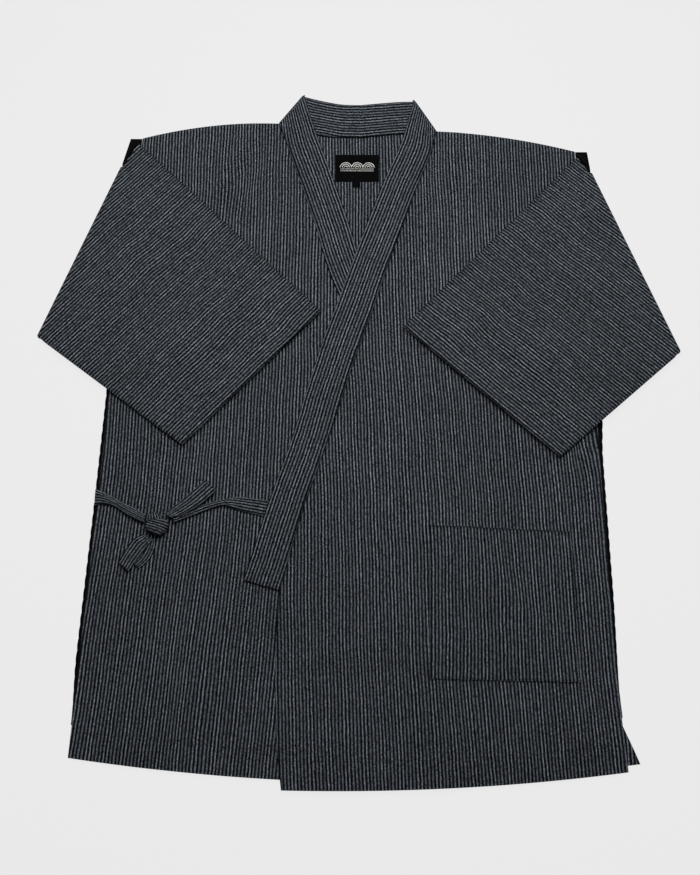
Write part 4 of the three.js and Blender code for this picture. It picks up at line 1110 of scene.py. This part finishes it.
def stitches(name, lines, lift=STITCH["lift"]):
    """One object with a spindle of thread at every stitch along the lines of points: three
    square rings, the middle one full and the end ones a third of its size."""
    middle, ahead = [], []
    for line in lines:
        length = np.linalg.norm(np.diff(line, axis=0), axis=1).sum()
        spaced = even_steps(line, int(length / STITCH["pitch"]) + 1)
        step = np.diff(spaced, axis=0)
        middle.append(spaced[:-1] + step / 2)
        ahead.append(step / np.linalg.norm(step, axis=1, keepdims=True))
    middle, ahead = np.vstack(middle), np.vstack(ahead)
    side = np.column_stack([-ahead[:, 1], ahead[:, 0], 0 * ahead[:, 0]])
    rings = []
    for along, size in ((-0.5, 0.33), (0, 1), (0.5, 0.33)):
        for across, up in ((1, 0), (0, 1), (-1, 0), (0, -1)):
            rings.append(middle + ahead * along * STITCH["length"]
                         + side * across * size * STITCH["half_width"]
                         + (0, 0, lift + up * size * STITCH["half_height"]))
    points = np.stack(rings, 1).reshape(-1, 3)
    one = [(r * 4 + k, r * 4 + (k + 1) % 4, r * 4 + 4 + (k + 1) % 4, r * 4 + 4 + k)
           for r in range(2) for k in range(4)] + [(3, 2, 1, 0), (8, 9, 10, 11)]
    faces = (np.arange(len(middle))[:, None, None] * 12 + np.array(one)[None, :, ::-1])
    faces = faces.reshape(-1, 4)
    print(f"{name}: {len(middle)} stitches")
    return make_mesh(name, points, faces, points[faces.ravel()][:, :2], stitch_material)


along_line = np.linspace(0.01, 0.99, 120)
for side in SIDES:
    stitches(f"hem_stitches_{side}",
                                        [on_grid(f"front_{side}_cloth", FRONT_HEM_ROW,
                                                 along_line)])
    collar_line = on_grid(f"collar_{side}_band", along_line * 0.75, 0.045)
    stitches(f"collar_stitches_{side}", [collar_line], COLLAR_LIFT)
    sleeve_long = np.linalg.norm(np.subtract(SLEEVE[side]["cuff_top"], SLEEVE[side]["top"]))
    turned = 1 - CUFF_HEM / sleeve_long
    rows = len(GRIDS[f"sleeve_{side}_cloth"])
    cuff_row = (rows - TURNED_ROWS + turned * (TURNED_ROWS - 1)) / (rows - 1)
    cuff_line = on_grid(f"sleeve_{side}_cloth", cuff_row, 0.02 + along_line * 0.46)
    stitches(f"cuff_stitches_{side}", [cuff_line])
stitches("hem_stitches_back", [on_grid("back_cloth", BACK_HEM_ROW, along_line)])
pocket_edge = POCKET_INSET / POCKET_WIDE
pocket_hem = 1 - POCKET_HEM / POCKET_HIGH
bar = np.linspace(0.02, 0.09, 6)
pocket_lines = [(along_line, pocket_edge), (along_line, 1 - pocket_edge),
                (pocket_edge, along_line), (pocket_hem, along_line)]
for line in BAR_ROWS:
    pocket_lines += [(line, bar), (line, 1 - bar)]
stitches("pocket_stitches",
                             [on_grid("pocket_cloth", v, u) for v, u in pocket_lines])

# %% [markdown]
# ## Painted shade at the rims
#
# Little light gets between two layers of dark cloth, so each rim that lies on another piece is
# seen as a thin dark line. That shade is painted: the rim's row of points gets it, and the next
# row a part of it, and the cotton's material is darkened by the value. Rims at the outline stay as
# they are.

# %% Painted shade of the rims
PAINTED_RIM_SHADE = {
    # piece: first row, last row, first column, last column
    "pocket_cloth": (0.15, 0.9, 0.75, 0.35),
    "front_left_cloth": (0, 0, 0, 0.6),
    "collar_left_band": (0.3, 0, 0.75, 0.45),
    "collar_right_band": (0.3, 0, 0.75, 0.45),
    "sleeve_left_cloth": (0, 0.5, 0.95, 0),
    "sleeve_right_cloth": (0, 0.5, 0.95, 0),
    "tie_side_ribbon": (0, 0.5, 0.3, 0.7),
    "tie_front_ribbon": (0.7, 0.5, 0.3, 0.7),
    "tie_bow_ribbon": (0.5, 0.4, 0.3, 0.8),
    "tie_tail_over_ribbon": (0.5, 0.4, 0.5, 0.5),
    "tie_tail_under_ribbon": (0.7, 0.4, 0.6, 0.6),
}
NEXT_SHARE = 0.22


def paint_rim_shade(name, first_row, last_row, first_column, last_column):
    """One painted shade from 0 to 1 for each grid point, the same on both faces of the wall. In a
    tube the first column has neighbours on both sides, and it has no last one."""
    rows, columns, _ = GRIDS[name].shape
    shade = np.zeros((rows, columns))
    tube = name.startswith("sleeve")
    for column, next_ones, dark in ((0, (1, -1) if tube else (1,), first_column),
                                    (-1, (-2,), last_column)):
        for neighbour in next_ones:
            shade[:, neighbour] = np.maximum(shade[:, neighbour], dark * NEXT_SHARE)
        shade[:, column] = np.maximum(shade[:, column], dark)
    for row, next_one, dark in ((0, 1, first_row), (-1, -2, last_row)):
        shade[next_one] = np.maximum(shade[next_one], dark * NEXT_SHARE)
        shade[row] = np.maximum(shade[row], dark)
    layer = bpy.data.objects[name].data.attributes.new("painted_rim_shade", "FLOAT", "POINT")
    layer.data.foreach_set("value", np.tile(shade.ravel(), 2).astype(np.float32))


for name, values in PAINTED_RIM_SHADE.items():
    paint_rim_shade(name, *values)
print("shaded rims:", len(PAINTED_RIM_SHADE))

# %% [markdown]
# ## The cut of each piece
#
# Every piece is a flat cut of cloth: a front slants to the neck, and a sleeve is one piece sewn
# to a tube. The lines printed above give the area of cloth in each mesh. The parts of the ties
# hidden in the knot and under the collar aren't counted. A tape's line gives first all that
# lies inside its outline, with its holes not taken off.

# %% [markdown]
# ## The room
#
# The garment lies on a light table, whose pale surface glows evenly and so stays one tone up
# to the picture's corners. A wide soft lamp hangs over the collar, so the cloth gets darker
# towards the hem, and a lower one beyond the collar draws the folds. The room adds very little.

# %% Board, lamps and colour
board_material, tree = new_material("matte_pale_board")
speck = node(tree, "ShaderNodeTexNoise", {"Scale": 400.0, "Detail": 2.0})
board_bump = node(tree, "ShaderNodeBump", {"Height": speck.outputs[0], "Strength": 0.02,
                                           "Distance": 0.0005})
board_shader = node(tree, "ShaderNodeBsdfPrincipled",
                    {"Base Color": linear("#515151"), "Roughness": 0.9,
                     "Specular IOR Level": 0.0, "Normal": board_bump.outputs[0],
                     "Emission Color": linear("#ffffff"), "Emission Strength": 0.79})
node(tree, "ShaderNodeOutputMaterial", {0: board_shader.outputs[0]})
board_mesh = bpy.data.meshes.new("board")
board_mesh.from_pydata([(-3, -3, 0), (3, -3, 0), (3, 3, 0), (-3, 3, 0)], [], [(0, 1, 2, 3)])
board_mesh.materials.append(board_material)
board = bpy.data.objects.new("board", board_mesh)
bpy.context.scene.collection.objects.link(board)

world = bpy.data.worlds.new("soft_room")
world.use_nodes = True
world.node_tree.nodes["Background"].inputs[0].default_value = linear("#ffffff")
world.node_tree.nodes["Background"].inputs[1].default_value = 0.04
bpy.context.scene.world = world


def soft_lamp(name, place, watts, size):
    """A square area lamp at that place in metres, turned towards the garment."""
    data = bpy.data.lights.new(name, "AREA")
    data.energy = watts
    data.size = size
    lamp = bpy.data.objects.new(name, data)
    lamp.location = place
    aim = -lamp.location
    lamp.rotation_euler = aim.to_track_quat("-Z", "Y").to_euler()
    bpy.context.scene.collection.objects.link(lamp)


soft_lamp("lamp_over_collar", (0.0, 0.33, 0.93), 6.7, 0.8)
soft_lamp("lamp_beyond_collar", (0.5, 2.0, 0.9), 3.0, 0.8)
bpy.context.scene.view_settings.view_transform = "Standard"
